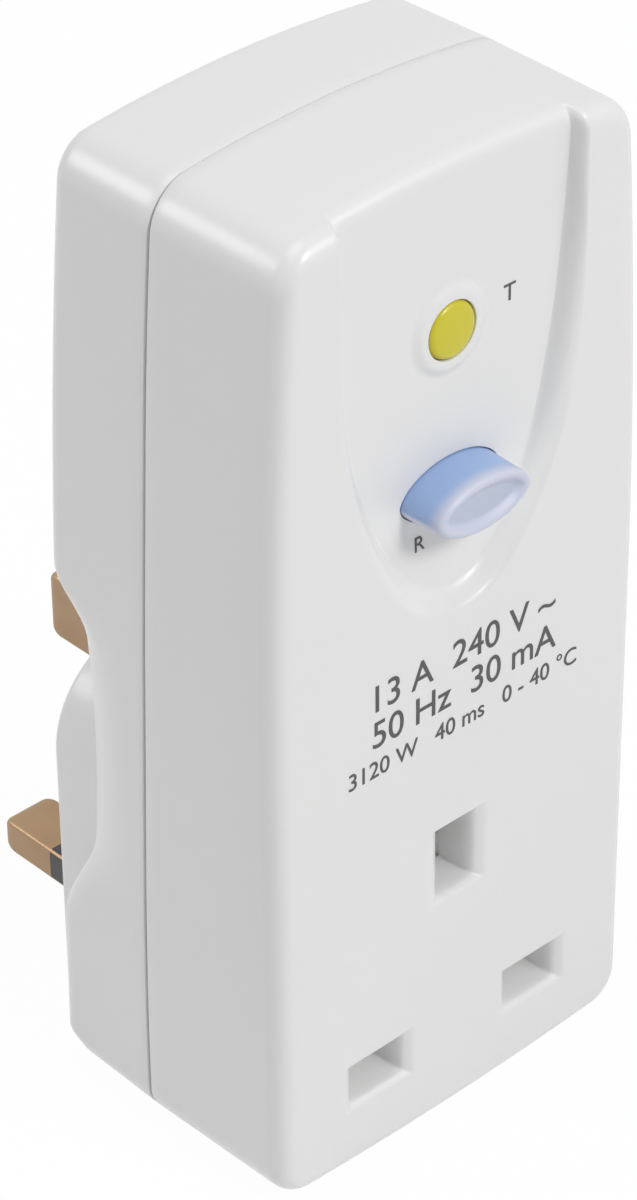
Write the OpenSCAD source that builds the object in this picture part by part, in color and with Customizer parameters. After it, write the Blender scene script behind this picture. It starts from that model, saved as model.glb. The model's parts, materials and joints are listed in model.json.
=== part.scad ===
// Plug-in residual-current adapter: a two-part moulded case with a three-pin plug at the back,
// a shuttered three-pin socket low on the front and a test and a reset button in a recess above it.
// Millimetres. The front faces -Y, the pins point along +Y and +Z is up.
// The origin is on the plug face, midway between the line and neutral pins.

/* [Case] */
// Greatest width of the case, at the joint between its covers
case_w = 50.6; // [50:0.2:55]
// Height of the case
case_h = 113.8; // [113:0.2:123]
// Depth of the case, without the plug base
case_d = 33.4; // [32.8:0.1:37]
// Depth of the front cover
front_d = 17.8; // [17.2:0.1:18.6]
// Bottom edge below the line and neutral pins
bottom_drop = 12.5; // [12.4:0.1:14]
// Wall thickness of the covers
wall = 2.4; // [2:0.1:2.8]
// Radius of the case's corners, seen from the front
corner_r = 4.5; // [4:0.5:8]
// How much each side draws in towards the top
top_taper = 2.5; // [0:0.1:2.8]
// How much each side draws in towards the bottom
bottom_taper = 0; // [0:0.1:1]
// Rise of the arched top edge
top_crown = 1.7; // [0.5:0.1:3]
// Drop of the arched bottom edge
bottom_crown = 0.9; // [0.2:0.1:1]
// Radius round the front face
front_edge_r = 2.2; // [1.6:0.1:3]
// Radius round the rear face
rear_edge_r = 2.3; // [1.5:0.1:3]
// Draft of the front cover's sides, in degrees
front_draft = 1; // [0:0.1:2]
// Draft of the rear cover's sides, in degrees
rear_draft = 1.2; // [0:0.1:2]
// How much deeper the case is at its bottom than at its top
rear_lean = 2.6; // [0:0.1:3]
// Width and depth of the chamfer that makes the joint line
joint_groove = 0.4; // [0.2:0.05:0.6]

/* [Recess] */
// Half width of the recess on the front
recess_half_w = 16.2; // [15:0.1:17]
// Middle of the recess's round end, below the top edge
recess_drop = 16.9; // [15:0.1:18]
// Length of the recess's round end below that
recess_end = 33; // [32:0.5:35]
// Depth of the recess
recess_depth = 2.5; // [1.8:0.1:3]
// How far the recess's side walls lean at the top
recess_lean = 1.7; // [1:0.1:2.2]
// How far the recess's bottom wall leans
recess_end_lean = 2; // [1:0.1:3]
// Middle of the floor's round end, below the top edge
recess_floor_drop = 6.2; // [5:0.1:10]

/* [Plug base] */
// How far the plug base stands out behind the case
base_d = 5.3; // [5:0.1:6]
// Step from each side of the case in to the side of the plug base
base_inset = 4.4; // [4:0.1:4.5]
// Top of the plug base above the pins
base_top = 35.8; // [35.6:0.1:37]
// Bottom of the plug base below the pins
base_drop = 11.6; // [11.4:0.1:12.2]
// Radius of the plug base's shoulders
shoulder_r = 11.5; // [9:0.5:13]
// Radius of the plug base's lower corners
base_corner_r = 5; // [3:0.5:8]
// Edge round the plug face
base_edge = 0.8; // [0.3:0.1:1.2]

/* [Finger grips] */
// Depth of the grip at each side of the plug base, from the back of the case
grip_depth = 4.4; // [3:0.1:4.6]
// Top of the grips, below the top edge
grip_drop = 48.4; // [47:0.1:51]
// Bottom of the grips above the pins
grip_bottom = 8; // [7:0.5:11]
// Length of the curve at the top of a grip
grip_top_run = 8; // [6:0.5:10]
// Length of the curve at the bottom of a grip
grip_bottom_run = 12; // [8:0.5:14]
// How deep the side wall is scooped towards a grip
scoop_depth = 1.1; // [0.4:0.1:1.5]
// Length of the scoop from front to back
scoop_l = 6; // [4:0.5:8]

/* [Plug pins] */
// Distance between the line and neutral pins, and from them to the earth pin
pin_pitch = 22.23; // [22.0:0.01:22.4]
// Wide side of a line or neutral pin
live_pin_w = 6.35; // [6.22:0.01:6.48]
// Narrow side of a pin
pin_t = 3.97; // [3.9:0.01:4.05]
// Tall side of the earth pin
earth_pin_h = 7.92; // [7.79:0.01:8.05]
// Length of a line or neutral pin outside the plug face
live_pin_l = 17.7; // [17.2:0.1:18.2]
// Length of the earth pin outside the plug face
earth_pin_l = 23.1; // [22.3:0.1:23.2]
// Length of the insulating sleeve on a line or neutral pin
sleeve_l = 10; // [8:0.1:11]
// Thickness of the insulating sleeve
sleeve_t = 0.6; // [0.4:0.1:0.8]
// Taper at the tip of a pin
pin_tip = 0.7; // [0.4:0.1:1.2]

/* [Socket] */
// Width of a line or neutral opening
live_slot_w = 6.9; // [6.8:0.1:7.4]
// Height of a line or neutral opening
live_slot_h = 4.7; // [4.4:0.1:4.8]
// Width of the earth opening
earth_slot_w = 5.1; // [4.4:0.1:5.4]
// Height of the earth opening
earth_slot_h = 8.4; // [8.2:0.1:8.8]
// Lead-in round each opening
slot_flare = 1.1; // [0.4:0.1:1.3]
// Middle of the openings below the pins
socket_drop = 1.1; // [0.8:0.1:1.3]
// Front wall round the socket
socket_wall = 5; // [4.6:0.1:5.2]
// Travel of the safety shutter
shutter_travel = 5; // [4.9:0.1:5.2]
// Thickness of the safety shutter
shutter_t = 2; // [1.6:0.1:2.2]
// Thickness of the contact clips and bars
strip_t = 0.8; // [0.6:0.1:1]
// Width of the supply and load bars
bar_w = 3.2; // [2.6:0.1:3.4]

/* [Buttons] */
// Diameter of the test button
test_d = 6.6; // [6:0.2:8]
// Middle of the test button, below the top edge
test_drop = 18.9; // [17.8:0.1:19.4]
// How far the test button stands out of the recess
test_proud = 0.8; // [0.5:0.1:1.6]
// Travel of the test button
test_travel = 1.2; // [0.8:0.1:1.4]
// Width of the reset button at its base
reset_w = 12.9; // [12:0.1:14]
// Height of the reset button at its base
reset_h = 6.3; // [5.6:0.1:7]
// Middle of the reset button, below the top edge
reset_drop = 36.2; // [35.8:0.1:36.8]
// How far the reset button stands out of the recess
reset_proud = 5.6; // [5:0.2:7]
// Travel of the reset button
reset_travel = 3.5; // [3:0.1:3.7]
// Draw-in of the reset button towards its front
reset_taper = 0.2; // [0:0.1:0.8]
// Sliding clearance round the buttons
button_gap = 0.3; // [0.2:0.05:0.4]

/* [Trip unit] */
// Diameter of the trip coil's winding
coil_d = 9; // [8.4:0.2:10]
// Length of the trip coil's bobbin
coil_l = 13; // [12:0.5:14]
// Diameter of the trip plunger
plunger_d = 4.4; // [3.8:0.1:4.6]
// Travel of the trip plunger
plunger_travel = 1.5; // [1:0.1:1.6]
// Outer diameter of the current-sensing core
core_d = 15.8; // [14:0.2:16.4]
// Height of the current-sensing core
core_h = 8; // [6:0.5:8.5]
// Thickness of the circuit board
board_t = 1.6; // [1.2:0.1:2]

/* [Screws] */
// Diameter of the cover screws
screw_d = 2.8; // [2.4:0.1:3]
// Diameter of the screw heads
screw_head_d = 5; // [4.6:0.1:5.2]

/* [Hidden] */

$fn = 48;
// Fits: a press or moulded-in seat, a loose hole and a moving gap
seat_gap = 0.05;
loose_gap = 0.15;
run_gap = 0.3;
// Steps of an outline corner, points along a long and a short side, and steps of an edge round
corner_steps = 8;
long_points = 7;
short_points = 5;
edge_steps = 5;
// Points round the recess's end and round the reset button
recess_steps = 28;
eye_steps = 12;
// Steps of a grip's curved ends
grip_steps = 8;

// Main places
rear_y = -base_d;
front_y = rear_y - case_d;
split_y = front_y + front_d;
bottom_z = -bottom_drop;
top_z = bottom_z + case_h;
mid_z = (top_z + bottom_z) / 2;
recess_z = top_z - recess_drop;
recess_floor_z = top_z - recess_floor_drop;
grip_top = top_z - grip_drop;
test_z = top_z - test_drop;
reset_z = top_z - reset_drop;
live_x = pin_pitch / 2;
earth_z = pin_pitch;
socket_z = -socket_drop;
socket_earth_z = earth_z + socket_z;
floor_y = front_y + recess_depth;
// Inner faces of the front wall, round the socket and under the recess
socket_back_y = front_y + socket_wall;
recess_back_y = floor_y + wall + 0.4;
socket_room_top = recess_z - recess_end - wall;

// Pocket floors of the rear cover
base_floor_y = -11;
upper_floor_y = rear_y - wall - 0.6;
upper_room_z = grip_top + wall;
pin_head_t = 1;
pin_head_edge = 1.1;
base_w = case_w - 2 * base_inset;
base_side = 1.6;
base_room = base_inset + base_side;
base_half_room = base_w / 2 - base_side;
upper_room = wall + 2;

// Socket contacts
carrier_y = base_floor_y - 4.5;
carrier_t = 1.2;
carrier_h = 13.2;
carrier_z = 1.4;
carrier_half_w = base_half_room - 2 * run_gap;
post_d = 3.2;
post_z = carrier_z - carrier_h / 2 + 1;
posts = [[carrier_half_w - 2, post_z], [2 - carrier_half_w, post_z], [0, carrier_z + 5]];
clip_y = carrier_y - carrier_t;
clip_front_y = socket_back_y + run_gap + shutter_t + 0.8;
clip_gap = 0.15;
shutter_y = socket_back_y + run_gap;
shutter_cover = shutter_travel - live_slot_h;
shutter_spring_d = 2.4;

// Bars: supply bars beside the pins, load bars through the sensing core
supply_y = base_floor_y - pin_head_t;
supply_x = live_x + 1.4;
bar_room = supply_x + bar_w / 2 + 2 * run_gap;
web_half_w = bar_room + wall;
load_x = supply_x - 6.5;
core_bar_x = 2.4;
core_bar_w = 2.2;
core_y = clip_y - strip_t / 2;
core_wall = 0.6;
core_bore_d = 10;
core_z = base_top + 2.6;
load_step_z = core_z + core_h + 3.2;
load_step_h = 2;
contact_d = 3;
contact_t = 1.2;
bar_top = reset_z + 2;

// Moving contacts
bridge_gap = 0.1;
bridge_back_y = supply_y - strip_t - contact_t - bridge_gap - reset_travel;
bridge_y = bridge_back_y - contact_t;
carriage_t = 3;
carriage_back_y = bridge_y - strip_t;
carriage_front_y = carriage_back_y - carriage_t;
carriage_h = 13;
carriage_core_w = 9;
reset_spring_d = 6.4;
carriage_w = 2 * (supply_x + 2.6);

// Screw places: two at the top of the case, two in the plug base
boss_d = screw_d + 3.4;
screw_inset = 8.2;
screw_drop = 10;
screw_top_x = case_w / 2 - screw_inset;
screw_top_z = top_z - screw_drop;
screw_low_x = supply_x + bar_w / 2 + boss_d / 2 + run_gap;
screw_low_z = 13;
screw_sites = [
    [screw_top_x, screw_top_z], [-screw_top_x, screw_top_z],
    [screw_low_x, screw_low_z], [-screw_low_x, screw_low_z]
];
head_y = rear_y - 2.6;
head_t = 1.8;
screw_reach = 6;

// Circuit board and trip unit
coil_back_gap = 2.1;
coil_front_gap = 2.4;
coil_y = upper_floor_y - coil_back_gap - coil_d / 2;
board_back_y = coil_y - coil_d / 2 - coil_front_gap;
board_y = board_back_y - board_t;
board_low_z = reset_z + carriage_h / 2 + 5.2;
board_w = 2 * screw_top_x + 6;
board_top_z = screw_top_z + 3.6;
frame_t = 1.2;
coil_low_z = board_low_z + 3.2;
latch_t = 1.2;
latch_z = coil_low_z - frame_t - 4.2;
latch_pin_d = 2;
latch_pin_y = upper_floor_y - latch_pin_d - 0.4;
neck_d = 2.6;
tube_wall = 0.8;
tube_d = plunger_d + 2 * (run_gap + tube_wall);
neck_h = latch_t + plunger_travel + 1.1;
plunger_head_t = 0.8;

// Parts on the board, placed from its sides
resistor_d = 3;
resistor_l = 8;
resistor_inset = 12;
resistor_x = board_w / 2 - resistor_inset;
resistor_z = test_z + 3.3;
capacitor_d = 8;
capacitor_l = 10;
capacitor_inset = 7.4;
capacitor_x = capacitor_inset - board_w / 2;
capacitor_z = test_z + 1;
chip_w = 6;
chip_h = 4;
chip_t = 1.5;
chip_inset = 8;
chip_x = board_w / 2 - chip_inset;
chip_z = test_z - 1;

white = [0.93, 0.93, 0.92];
brass = [0.72, 0.6, 0.38];
steel = [0.72, 0.73, 0.75];

// Outline of the case seen from the front, drawn in by inset
function arc(centre, r, a0) =
    [for (i = [0:corner_steps]) let (a = a0 + 90 * i / corner_steps) centre + r * [cos(a), sin(a)]];
function between(p, q, n) = [for (i = [1:n]) p + (q - p) * i / (n + 1)];
function rounded(a, b, r) =
    let (
        c0 = arc([a - r, b - r], r, 0),
        c1 = arc([r - a, b - r], r, 90),
        c2 = arc([r - a, r - b], r, 180),
        c3 = arc([a - r, r - b], r, 270),
        n = corner_steps
    )
    concat(
        c0, between(c0[n], c1[0], short_points), c1, between(c1[n], c2[0], long_points),
        c2, between(c2[n], c3[0], short_points), c3, between(c3[n], c0[0], long_points)
    );
function bowed(p) =
    let (
        u = p.x / (case_w / 2),
        v = p.y / (case_h / 2),
        taper = v > 0 ? top_taper : bottom_taper,
        crown = v > 0 ? top_crown : bottom_crown
    )
    [p.x * (1 - taper * v * v / (case_w / 2)), mid_z + p.y * (1 - crown * u * u / (case_h / 2))];
function outline(inset) =
    [for (p = rounded(case_w / 2 - inset, case_h / 2 - inset, max(corner_r - inset, 1))) bowed(p)];

// Rings from front to back: each is a depth, an outline and, where it leans, a slope
function front_rings() =
    let (drawn_in = (front_d - front_edge_r - joint_groove) * tan(front_draft))
    concat(
        [for (i = [0:edge_steps]) let (a = 90 * i / edge_steps)
            [front_y + front_edge_r * (1 - cos(a)), outline(drawn_in + front_edge_r * (1 - sin(a)))]],
        [[split_y - joint_groove, outline(0)], [split_y, outline(joint_groove)]]
    );
function rear_rings() =
    let (
        drawn_in = (case_d - front_d - rear_edge_r - joint_groove) * tan(rear_draft),
        slope = rear_lean / case_h
    )
    concat(
        [[split_y, outline(joint_groove)], [split_y + joint_groove, outline(0)]],
        [for (i = [0:edge_steps]) let (a = 90 * i / edge_steps)
            [rear_y - rear_edge_r * (1 - sin(a)), outline(drawn_in + rear_edge_r * (1 - cos(a))), slope]]
    );

// Plug base seen from the front: round shoulders beside the earth pin, straight sides below
function base_outline(inset) =
    let (
        half = base_w / 2,
        low = base_corner_r - base_drop
    )
    concat(
        arc([half - shoulder_r, base_top - shoulder_r], shoulder_r - inset, 0),
        arc([shoulder_r - half, base_top - shoulder_r], shoulder_r - inset, 90),
        arc([base_corner_r - half, low], base_corner_r - inset, 180),
        arc([half - base_corner_r, low], base_corner_r - inset, 270)
    );

// Scoop in the side wall towards a grip, deepest in the middle of its height
function scoop_outline(depth) =
    let (
        low = grip_bottom + grip_bottom_run / 2,
        high = grip_top - grip_top_run / 4,
        spare = 0.5
    )
    concat(
        [[case_w, low], [case_w, high]],
        [for (i = [0:edge_steps * 2]) let (t = 1 - i / (edge_steps * 2))
            [case_w / 2 + spare - (depth + spare) * pow(sin(180 * t), 0.6), low + (high - low) * t]]
    );

// Recess outline: straight sides that run out through the top, and a half ellipse below
// The floor's half ellipse starts higher, so its wall is steep at the top and soft below
function recess_outline(share) =
    let (
        half_w = recess_half_w - recess_lean * share,
        z = recess_z + (recess_floor_z - recess_z) * share,
        low = recess_z - recess_end + recess_end_lean * share
    )
    concat(
        [[half_w, top_z + corner_r], [-half_w, top_z + corner_r]],
        [for (i = [0:recess_steps]) let (a = 180 + 180 * i / recess_steps)
            [half_w * cos(a), z + (z - low) * sin(a)]]
    );
function recess_rings() =
    [for (step = [[-1, -0.4], [0, 0], [0.3, 0.35], [0.7, 0.7], [1, 1]])
        [front_y + recess_depth * step[0], recess_outline(step[1])]];

// Eye-shaped outline of the reset button: two arcs that meet in rounded points
function eye(w, h) =
    [for (i = [0:4 * eye_steps - 1]) let (a = 360 * i / (4 * eye_steps))
        [w / 2 * cos(a), reset_z + h / 2 * sign(sin(a)) * pow(abs(sin(a)), 1.35)]];
function rectangle(x, z, w, h) =
    [[x + w / 2, z + h / 2], [x - w / 2, z + h / 2], [x - w / 2, z - h / 2], [x + w / 2, z - h / 2]];

// Solid through a list of rings, listed from front to back
module loft(rings) {
    n = len(rings[0][1]);
    last = len(rings) - 1;
    points = [
        for (ring = rings) for (p = ring[1])
            [p.x, ring[0] + (len(ring) > 2 ? ring[2] * (mid_z - p.y) : 0), p.y]
    ];
    sides = [
        for (k = [0:last - 1]) for (i = [0:n - 1])
            let (a = k * n + i, d = k * n + (i + 1) % n)
            each [[a, d, d + n], [a, d + n, a + n]]
    ];
    front_cap = [for (i = [n - 1:-1:0]) i];
    rear_cap = [for (i = [0:n - 1]) last * n + i];
    polyhedron(points, concat([front_cap], sides, [rear_cap]));
}

// Flat shape in the front view, carried from depth y0 to y1
module slab(y0, y1) {
    translate([0, y1, 0]) rotate([90, 0, 0]) linear_extrude(y1 - y0) children();
}

// Round bar along Y
module rod(x, z, d, y0, y1) {
    translate([x, y0, z]) rotate([-90, 0, 0]) cylinder(d = d, h = y1 - y0);
}

// Box given by its middle and size in the front view, and two depths
module block(x, z, w, h, y0, y1) {
    translate([x - w / 2, y0, z - h / 2]) cube([w, y1 - y0, h]);
}

// Plain tube that stands for a hidden coil spring, along Y or along Z
module spring_along_y(x, z, d, y0, y1) {
    difference() {
        rod(x, z, d, y0, y1);
        rod(x, z, d - 1.2, y0 - 1, y1 + 1);
    }
}
module spring_along_z(x, y, d, z0, z1) {
    translate([x, y, z0]) difference() {
        cylinder(d = d, h = z1 - z0);
        translate([0, 0, -1]) cylinder(d = d - 1.2, h = z1 - z0 + 2);
    }
}

// Socket opening with its flared lead-in
module socket_opening(x, z, w, h) {
    loft([
        [front_y - 1, rectangle(x, z, w + 2 * slot_flare + 1, h + 2 * slot_flare + 1)],
        [front_y, rectangle(x, z, w + 2 * slot_flare, h + 2 * slot_flare)],
        [front_y + 1.2 * slot_flare, rectangle(x, z, w, h)],
        [socket_back_y + 1, rectangle(x, z, w, h)]
    ]);
}

module front_cover() {
    color(white) difference() {
        union() {
            difference() {
                loft(front_rings());
                loft(recess_rings());
                slab(recess_back_y, split_y + 1) polygon(outline(wall));
                slab(socket_back_y, split_y + 1) intersection() {
                    polygon(outline(wall));
                    translate([-case_w, bottom_z]) square([2 * case_w, socket_room_top - bottom_z]);
                }
            }
            rod(0, test_z, test_d + 2.8, floor_y - 0.6, recess_back_y);
            for (site = screw_sites) {
                rod(site.x, site.y, boss_d, socket_back_y - 0.5, split_y);
            }
            for (side = [-1, 1]) {
                rod(side * screw_top_x, screw_top_z, boss_d + 2.4, recess_back_y - 0.5, board_y);
            }
        }
        for (side = [-1, 1]) {
            socket_opening(side * live_x, socket_z, live_slot_w, live_slot_h);
        }
        socket_opening(0, socket_earth_z, earth_slot_w, earth_slot_h);
        rod(0, test_z, test_d + 2 * button_gap, front_y - 1, recess_back_y + 1);
        slab(floor_y - 1, recess_back_y + 1) offset(delta = button_gap) polygon(eye(reset_w, reset_h));
        for (site = screw_sites) {
            rod(site.x, site.y, screw_d + 2 * loose_gap, split_y - screw_reach - 1, split_y + 1);
        }
    }
}

// Finger grip in the side view: a rounded drop at the top and a longer ramp at the bottom
function ease(t) = t * t * (3 - 2 * t);
function grip_curve(z, run) =
    [for (i = [0:grip_steps]) let (t = i / grip_steps) [rear_y - grip_depth * ease(t), z + run * t]];
module grip_profile() {
    drop = grip_curve(grip_top, -grip_top_run);
    ramp = grip_curve(grip_bottom, grip_bottom_run);
    polygon(concat([[0, grip_top]], drop, [for (i = [grip_steps:-1:0]) ramp[i]], [[0, grip_bottom]]));
}

module finger_grip() {
    floor_edge_y = rear_y - grip_depth;
    difference() {
        translate([web_half_w, 0, 0]) rotate([90, 0, 90]) linear_extrude(case_w) grip_profile();
        slab(split_y, 1) polygon(base_outline(0));
    }
    loft([
        [floor_edge_y - scoop_l, scoop_outline(-0.2)],
        [floor_edge_y - scoop_l / 2, scoop_outline(scoop_depth * 0.35)],
        [floor_edge_y + 0.5, scoop_outline(scoop_depth)]
    ]);
}

module rear_cover() {
    core_room_w = core_d + 2 * core_wall + 2 * run_gap;
    core_floor_y = core_y + core_room_w / 2;
    color(white) difference() {
        union() {
            difference() {
                union() {
                    difference() {
                        loft(rear_rings());
                        finger_grip();
                        mirror([1, 0, 0]) finger_grip();
                    }
                    loft([
                        [base_floor_y, base_outline(0)],
                        [-base_edge, base_outline(0)],
                        [-base_edge * 0.3, base_outline(base_edge * 0.3)],
                        [0, base_outline(base_edge)]
                    ]);
                }
                slab(split_y - 1, base_floor_y) intersection() {
                    polygon(outline(base_room));
                    translate([-base_half_room, bottom_z])
                        square([2 * base_half_room, base_top - shoulder_r - bottom_z]);
                }
                block(0, mid_z, 2 * bar_room, case_h - 2 * base_room, split_y - 1, base_floor_y);
                slab(split_y - 1, upper_floor_y) intersection() {
                    polygon(outline(upper_room));
                    translate([-case_w, upper_room_z]) square([2 * case_w, case_h]);
                }
                block(0, core_z + core_h / 2, core_room_w, core_h + 2 * (core_wall + run_gap),
                    split_y - 1, core_floor_y);
            }
            for (site = screw_sites) {
                rod(site.x, site.y, boss_d, split_y, head_y);
            }
            for (post = posts) {
                rod(post.x, post.y, post_d, carrier_y, base_floor_y + 0.5);
            }
            rod(0, reset_z, 8, upper_floor_y - 1, upper_floor_y + 0.5);
        }
        for (side = [-1, 1]) {
            block(side * live_x, 0, live_pin_w + 2 * seat_gap, pin_t + 2 * seat_gap, base_floor_y - 1, 1);
        }
        block(0, earth_z, pin_t + 2 * seat_gap, earth_pin_h + 2 * seat_gap, base_floor_y - 1, 1);
        for (site = screw_sites) {
            rod(site.x, site.y, screw_d + 2 * loose_gap, split_y - 1, 1);
            rod(site.x, site.y, screw_head_d + 2 * loose_gap, head_y, 1);
        }
    }
}

// Pin of full section with a tapered tip and a head against the pocket floor
module plug_pin(x, z, w, h, l) {
    loft([
        [base_floor_y, rectangle(x, z, w, h)],
        [l - pin_tip, rectangle(x, z, w, h)],
        [l, rectangle(x, z, w - 1.6 * pin_tip, h - 1.6 * pin_tip)]
    ]);
    block(x, z, w + 2 * pin_head_edge, h + 2 * pin_head_edge, base_floor_y - pin_head_t, base_floor_y);
}

// Collar cut from a line or neutral pin for its flush sleeve
module sleeve(x, gap) {
    difference() {
        block(x, 0, live_pin_w + gap, pin_t + gap, -gap, sleeve_l);
        block(x, 0, live_pin_w - 2 * sleeve_t, pin_t - 2 * sleeve_t, -1, sleeve_l + 1);
    }
}

module earth_pin() {
    color(brass) plug_pin(0, earth_z, pin_t, earth_pin_h, earth_pin_l);
}
module live_pin(x) {
    color(brass) difference() {
        plug_pin(x, 0, live_pin_w, pin_t, live_pin_l);
        sleeve(x, seat_gap);
    }
}
module line_pin() {
    live_pin(-live_x);
}
module neutral_pin() {
    live_pin(live_x);
}
module line_pin_sleeve() {
    color([0.1, 0.1, 0.1]) sleeve(-live_x, 0);
}
module neutral_pin_sleeve() {
    color([0.1, 0.1, 0.1]) sleeve(live_x, 0);
}

// Insulating plate that carries the line and neutral contacts over the pins
module contact_carrier() {
    color([0.85, 0.84, 0.8]) block(0, carrier_z, 2 * carrier_half_w, carrier_h, clip_y, carrier_y);
}

// Line or neutral contact: a base with two leaves, above and below the pin's path
module live_contact(x) {
    inner = pin_t / 2 + clip_gap;
    color(brass) {
        block(x, socket_z, live_pin_w, 2 * (inner + strip_t), clip_y - strip_t, clip_y);
        for (side = [-1, 1]) {
            block(x, socket_z + side * (inner + strip_t / 2), live_pin_w, strip_t,
                clip_front_y, clip_y - strip_t);
        }
    }
}
module line_socket_contact() {
    live_contact(-live_x);
}
module neutral_socket_contact() {
    live_contact(live_x);
}
module earth_socket_contact() {
    inner = pin_t / 2 + clip_gap;
    color(brass) {
        block(0, socket_earth_z, 2 * (inner + strip_t), earth_pin_h, supply_y - strip_t, supply_y);
        for (side = [-1, 1]) {
            block(side * (inner + strip_t / 2), socket_earth_z, strip_t, earth_pin_h,
                clip_front_y, supply_y - strip_t);
        }
    }
}

// Shutter: a bar across both live openings and a ramped tongue behind the earth opening
module safety_shutter() {
    bar_h = live_slot_h + 2 * shutter_cover;
    tongue_w = earth_slot_w - 0.8;
    bar_top_z = socket_z + bar_h / 2;
    bar_half = live_x + live_slot_w / 2 + shutter_cover;
    tongue_top = socket_earth_z - earth_slot_h / 2 + 2;
    color([0.88, 0.88, 0.86]) {
        block(0, socket_z, 2 * bar_half, bar_h, shutter_y, shutter_y + shutter_t);
        translate([-tongue_w / 2, 0, 0]) rotate([90, 0, 90]) linear_extrude(tongue_w) polygon([
            [shutter_y, bar_top_z], [shutter_y + shutter_t, bar_top_z],
            [shutter_y + shutter_t, tongue_top], [shutter_y, tongue_top - shutter_t]
        ]);
    }
}
module shutter_spring() {
    shutter_low_z = socket_z - live_slot_h / 2 - shutter_cover;
    color(steel)
        spring_along_z(0, shutter_y + shutter_t / 2, shutter_spring_d, bottom_z + wall, shutter_low_z);
}

// Supply bar from a pin's head to the fixed contact behind the reset button
module supply_bar(side) {
    foot_w = supply_x - live_x + bar_w;
    low_z = -pin_t / 2;
    color(brass) {
        block(side * supply_x, (bar_top + low_z) / 2, bar_w, bar_top - low_z, supply_y - strip_t, supply_y);
        block(side * (supply_x + live_x) / 2, 0, foot_w, pin_t, supply_y - strip_t, supply_y);
        rod(side * supply_x, reset_z, contact_d, supply_y - strip_t - contact_t, supply_y - strip_t);
    }
}
module line_supply_bar() {
    supply_bar(-1);
}
module neutral_supply_bar() {
    supply_bar(1);
}

// Load bar from a fixed contact through the sensing core to a socket contact
module load_bar(side) {
    low_z = socket_z + pin_t / 2 + clip_gap + strip_t;
    cross_z = core_z - 3;
    bar_y = clip_y - strip_t;
    cross_w = live_x - core_bar_x + core_bar_w;
    core_run = load_step_z - cross_z;
    step_w = load_x - core_bar_x + bar_w;
    top_y = supply_y - strip_t;
    color(brass) {
        block(side * live_x, (low_z + cross_z) / 2, bar_w, cross_z - low_z, bar_y, clip_y);
        block(side * (live_x + core_bar_x) / 2, cross_z, cross_w, load_step_h, bar_y, clip_y);
        block(side * core_bar_x, cross_z + core_run / 2, core_bar_w, core_run, bar_y, clip_y);
        block(side * (load_x + core_bar_x) / 2, load_step_z, step_w, load_step_h, bar_y, clip_y);
        block(side * load_x, load_step_z, bar_w, load_step_h, clip_y, supply_y);
        block(side * load_x, (load_step_z + bar_top) / 2, bar_w, bar_top - load_step_z, top_y, supply_y);
        rod(side * load_x, reset_z, contact_d, top_y - contact_t, top_y);
    }
}
module line_load_bar() {
    load_bar(-1);
}
module neutral_load_bar() {
    load_bar(1);
}

// Ring core round both load bars, and the winding laid on it
module core_ring(grow) {
    w = (core_d - core_bore_d) / 2 + 2 * grow;
    translate([0, core_y, core_z - grow]) rotate_extrude() translate([core_bore_d / 2 - grow, 0])
        square([w, core_h + 2 * grow]);
}
module sensing_core() {
    color([0.3, 0.32, 0.36]) core_ring(0);
}
module sensing_winding() {
    lead_slot = 3;
    color([0.72, 0.42, 0.22]) difference() {
        core_ring(core_wall);
        core_ring(0);
        block(0, core_z + core_h / 2, lead_slot, 2 * core_h, core_y - core_d, core_y);
    }
}

module circuit_board() {
    color([0.13, 0.4, 0.25]) difference() {
        block(0, (board_low_z + board_top_z) / 2, board_w, board_top_z - board_low_z, board_y, board_back_y);
        for (side = [-1, 1]) {
            rod(side * screw_top_x, screw_top_z, boss_d + 2 * loose_gap, board_y - 1, board_back_y + 1);
        }
    }
}

// Trip coil: bobbin with two flanges, its winding and the steel frame round it
module trip_bobbin() {
    color([0.9, 0.88, 0.8]) translate([0, coil_y, coil_low_z]) difference() {
        union() {
            cylinder(d = tube_d, h = coil_l);
            cylinder(d = coil_d + 1.4, h = 1);
            translate([0, 0, coil_l - 1]) cylinder(d = coil_d + 1.4, h = 1);
        }
        translate([0, 0, -1]) cylinder(d = plunger_d + 2 * run_gap, h = coil_l + 2);
    }
}
module trip_winding() {
    color([0.72, 0.42, 0.22]) translate([0, coil_y, coil_low_z + 1]) difference() {
        cylinder(d = coil_d, h = coil_l - 2);
        translate([0, 0, -1]) cylinder(d = tube_d, h = coil_l);
    }
}
module trip_frame() {
    frame_w = coil_d + 1;
    frame_back_y = coil_y + coil_d / 2;
    ear_x = 4.4;
    color(steel) difference() {
        union() {
            block(0, coil_low_z + coil_l / 2, frame_w, coil_l + 2 * frame_t,
                board_back_y, board_back_y + frame_t);
            block(0, coil_low_z + coil_l + frame_t / 2, frame_w, frame_t, board_back_y, frame_back_y);
            block(0, coil_low_z - frame_t / 2, frame_w, frame_t, board_back_y, latch_pin_y + 1.8);
            for (side = [-1, 1]) {
                block(side * (ear_x + frame_t / 2), (coil_low_z + latch_z) / 2 - 1,
                    frame_t, coil_low_z - latch_z + 2, latch_pin_y - 1.8, latch_pin_y + 1.8);
            }
        }
        translate([0, coil_y, coil_low_z - 2]) cylinder(d = plunger_d + 2 * run_gap, h = 4);
        translate([-case_w, latch_pin_y, latch_z]) rotate([0, 90, 0])
            cylinder(d = latch_pin_d + 2 * seat_gap, h = 2 * case_w);
    }
}

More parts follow.
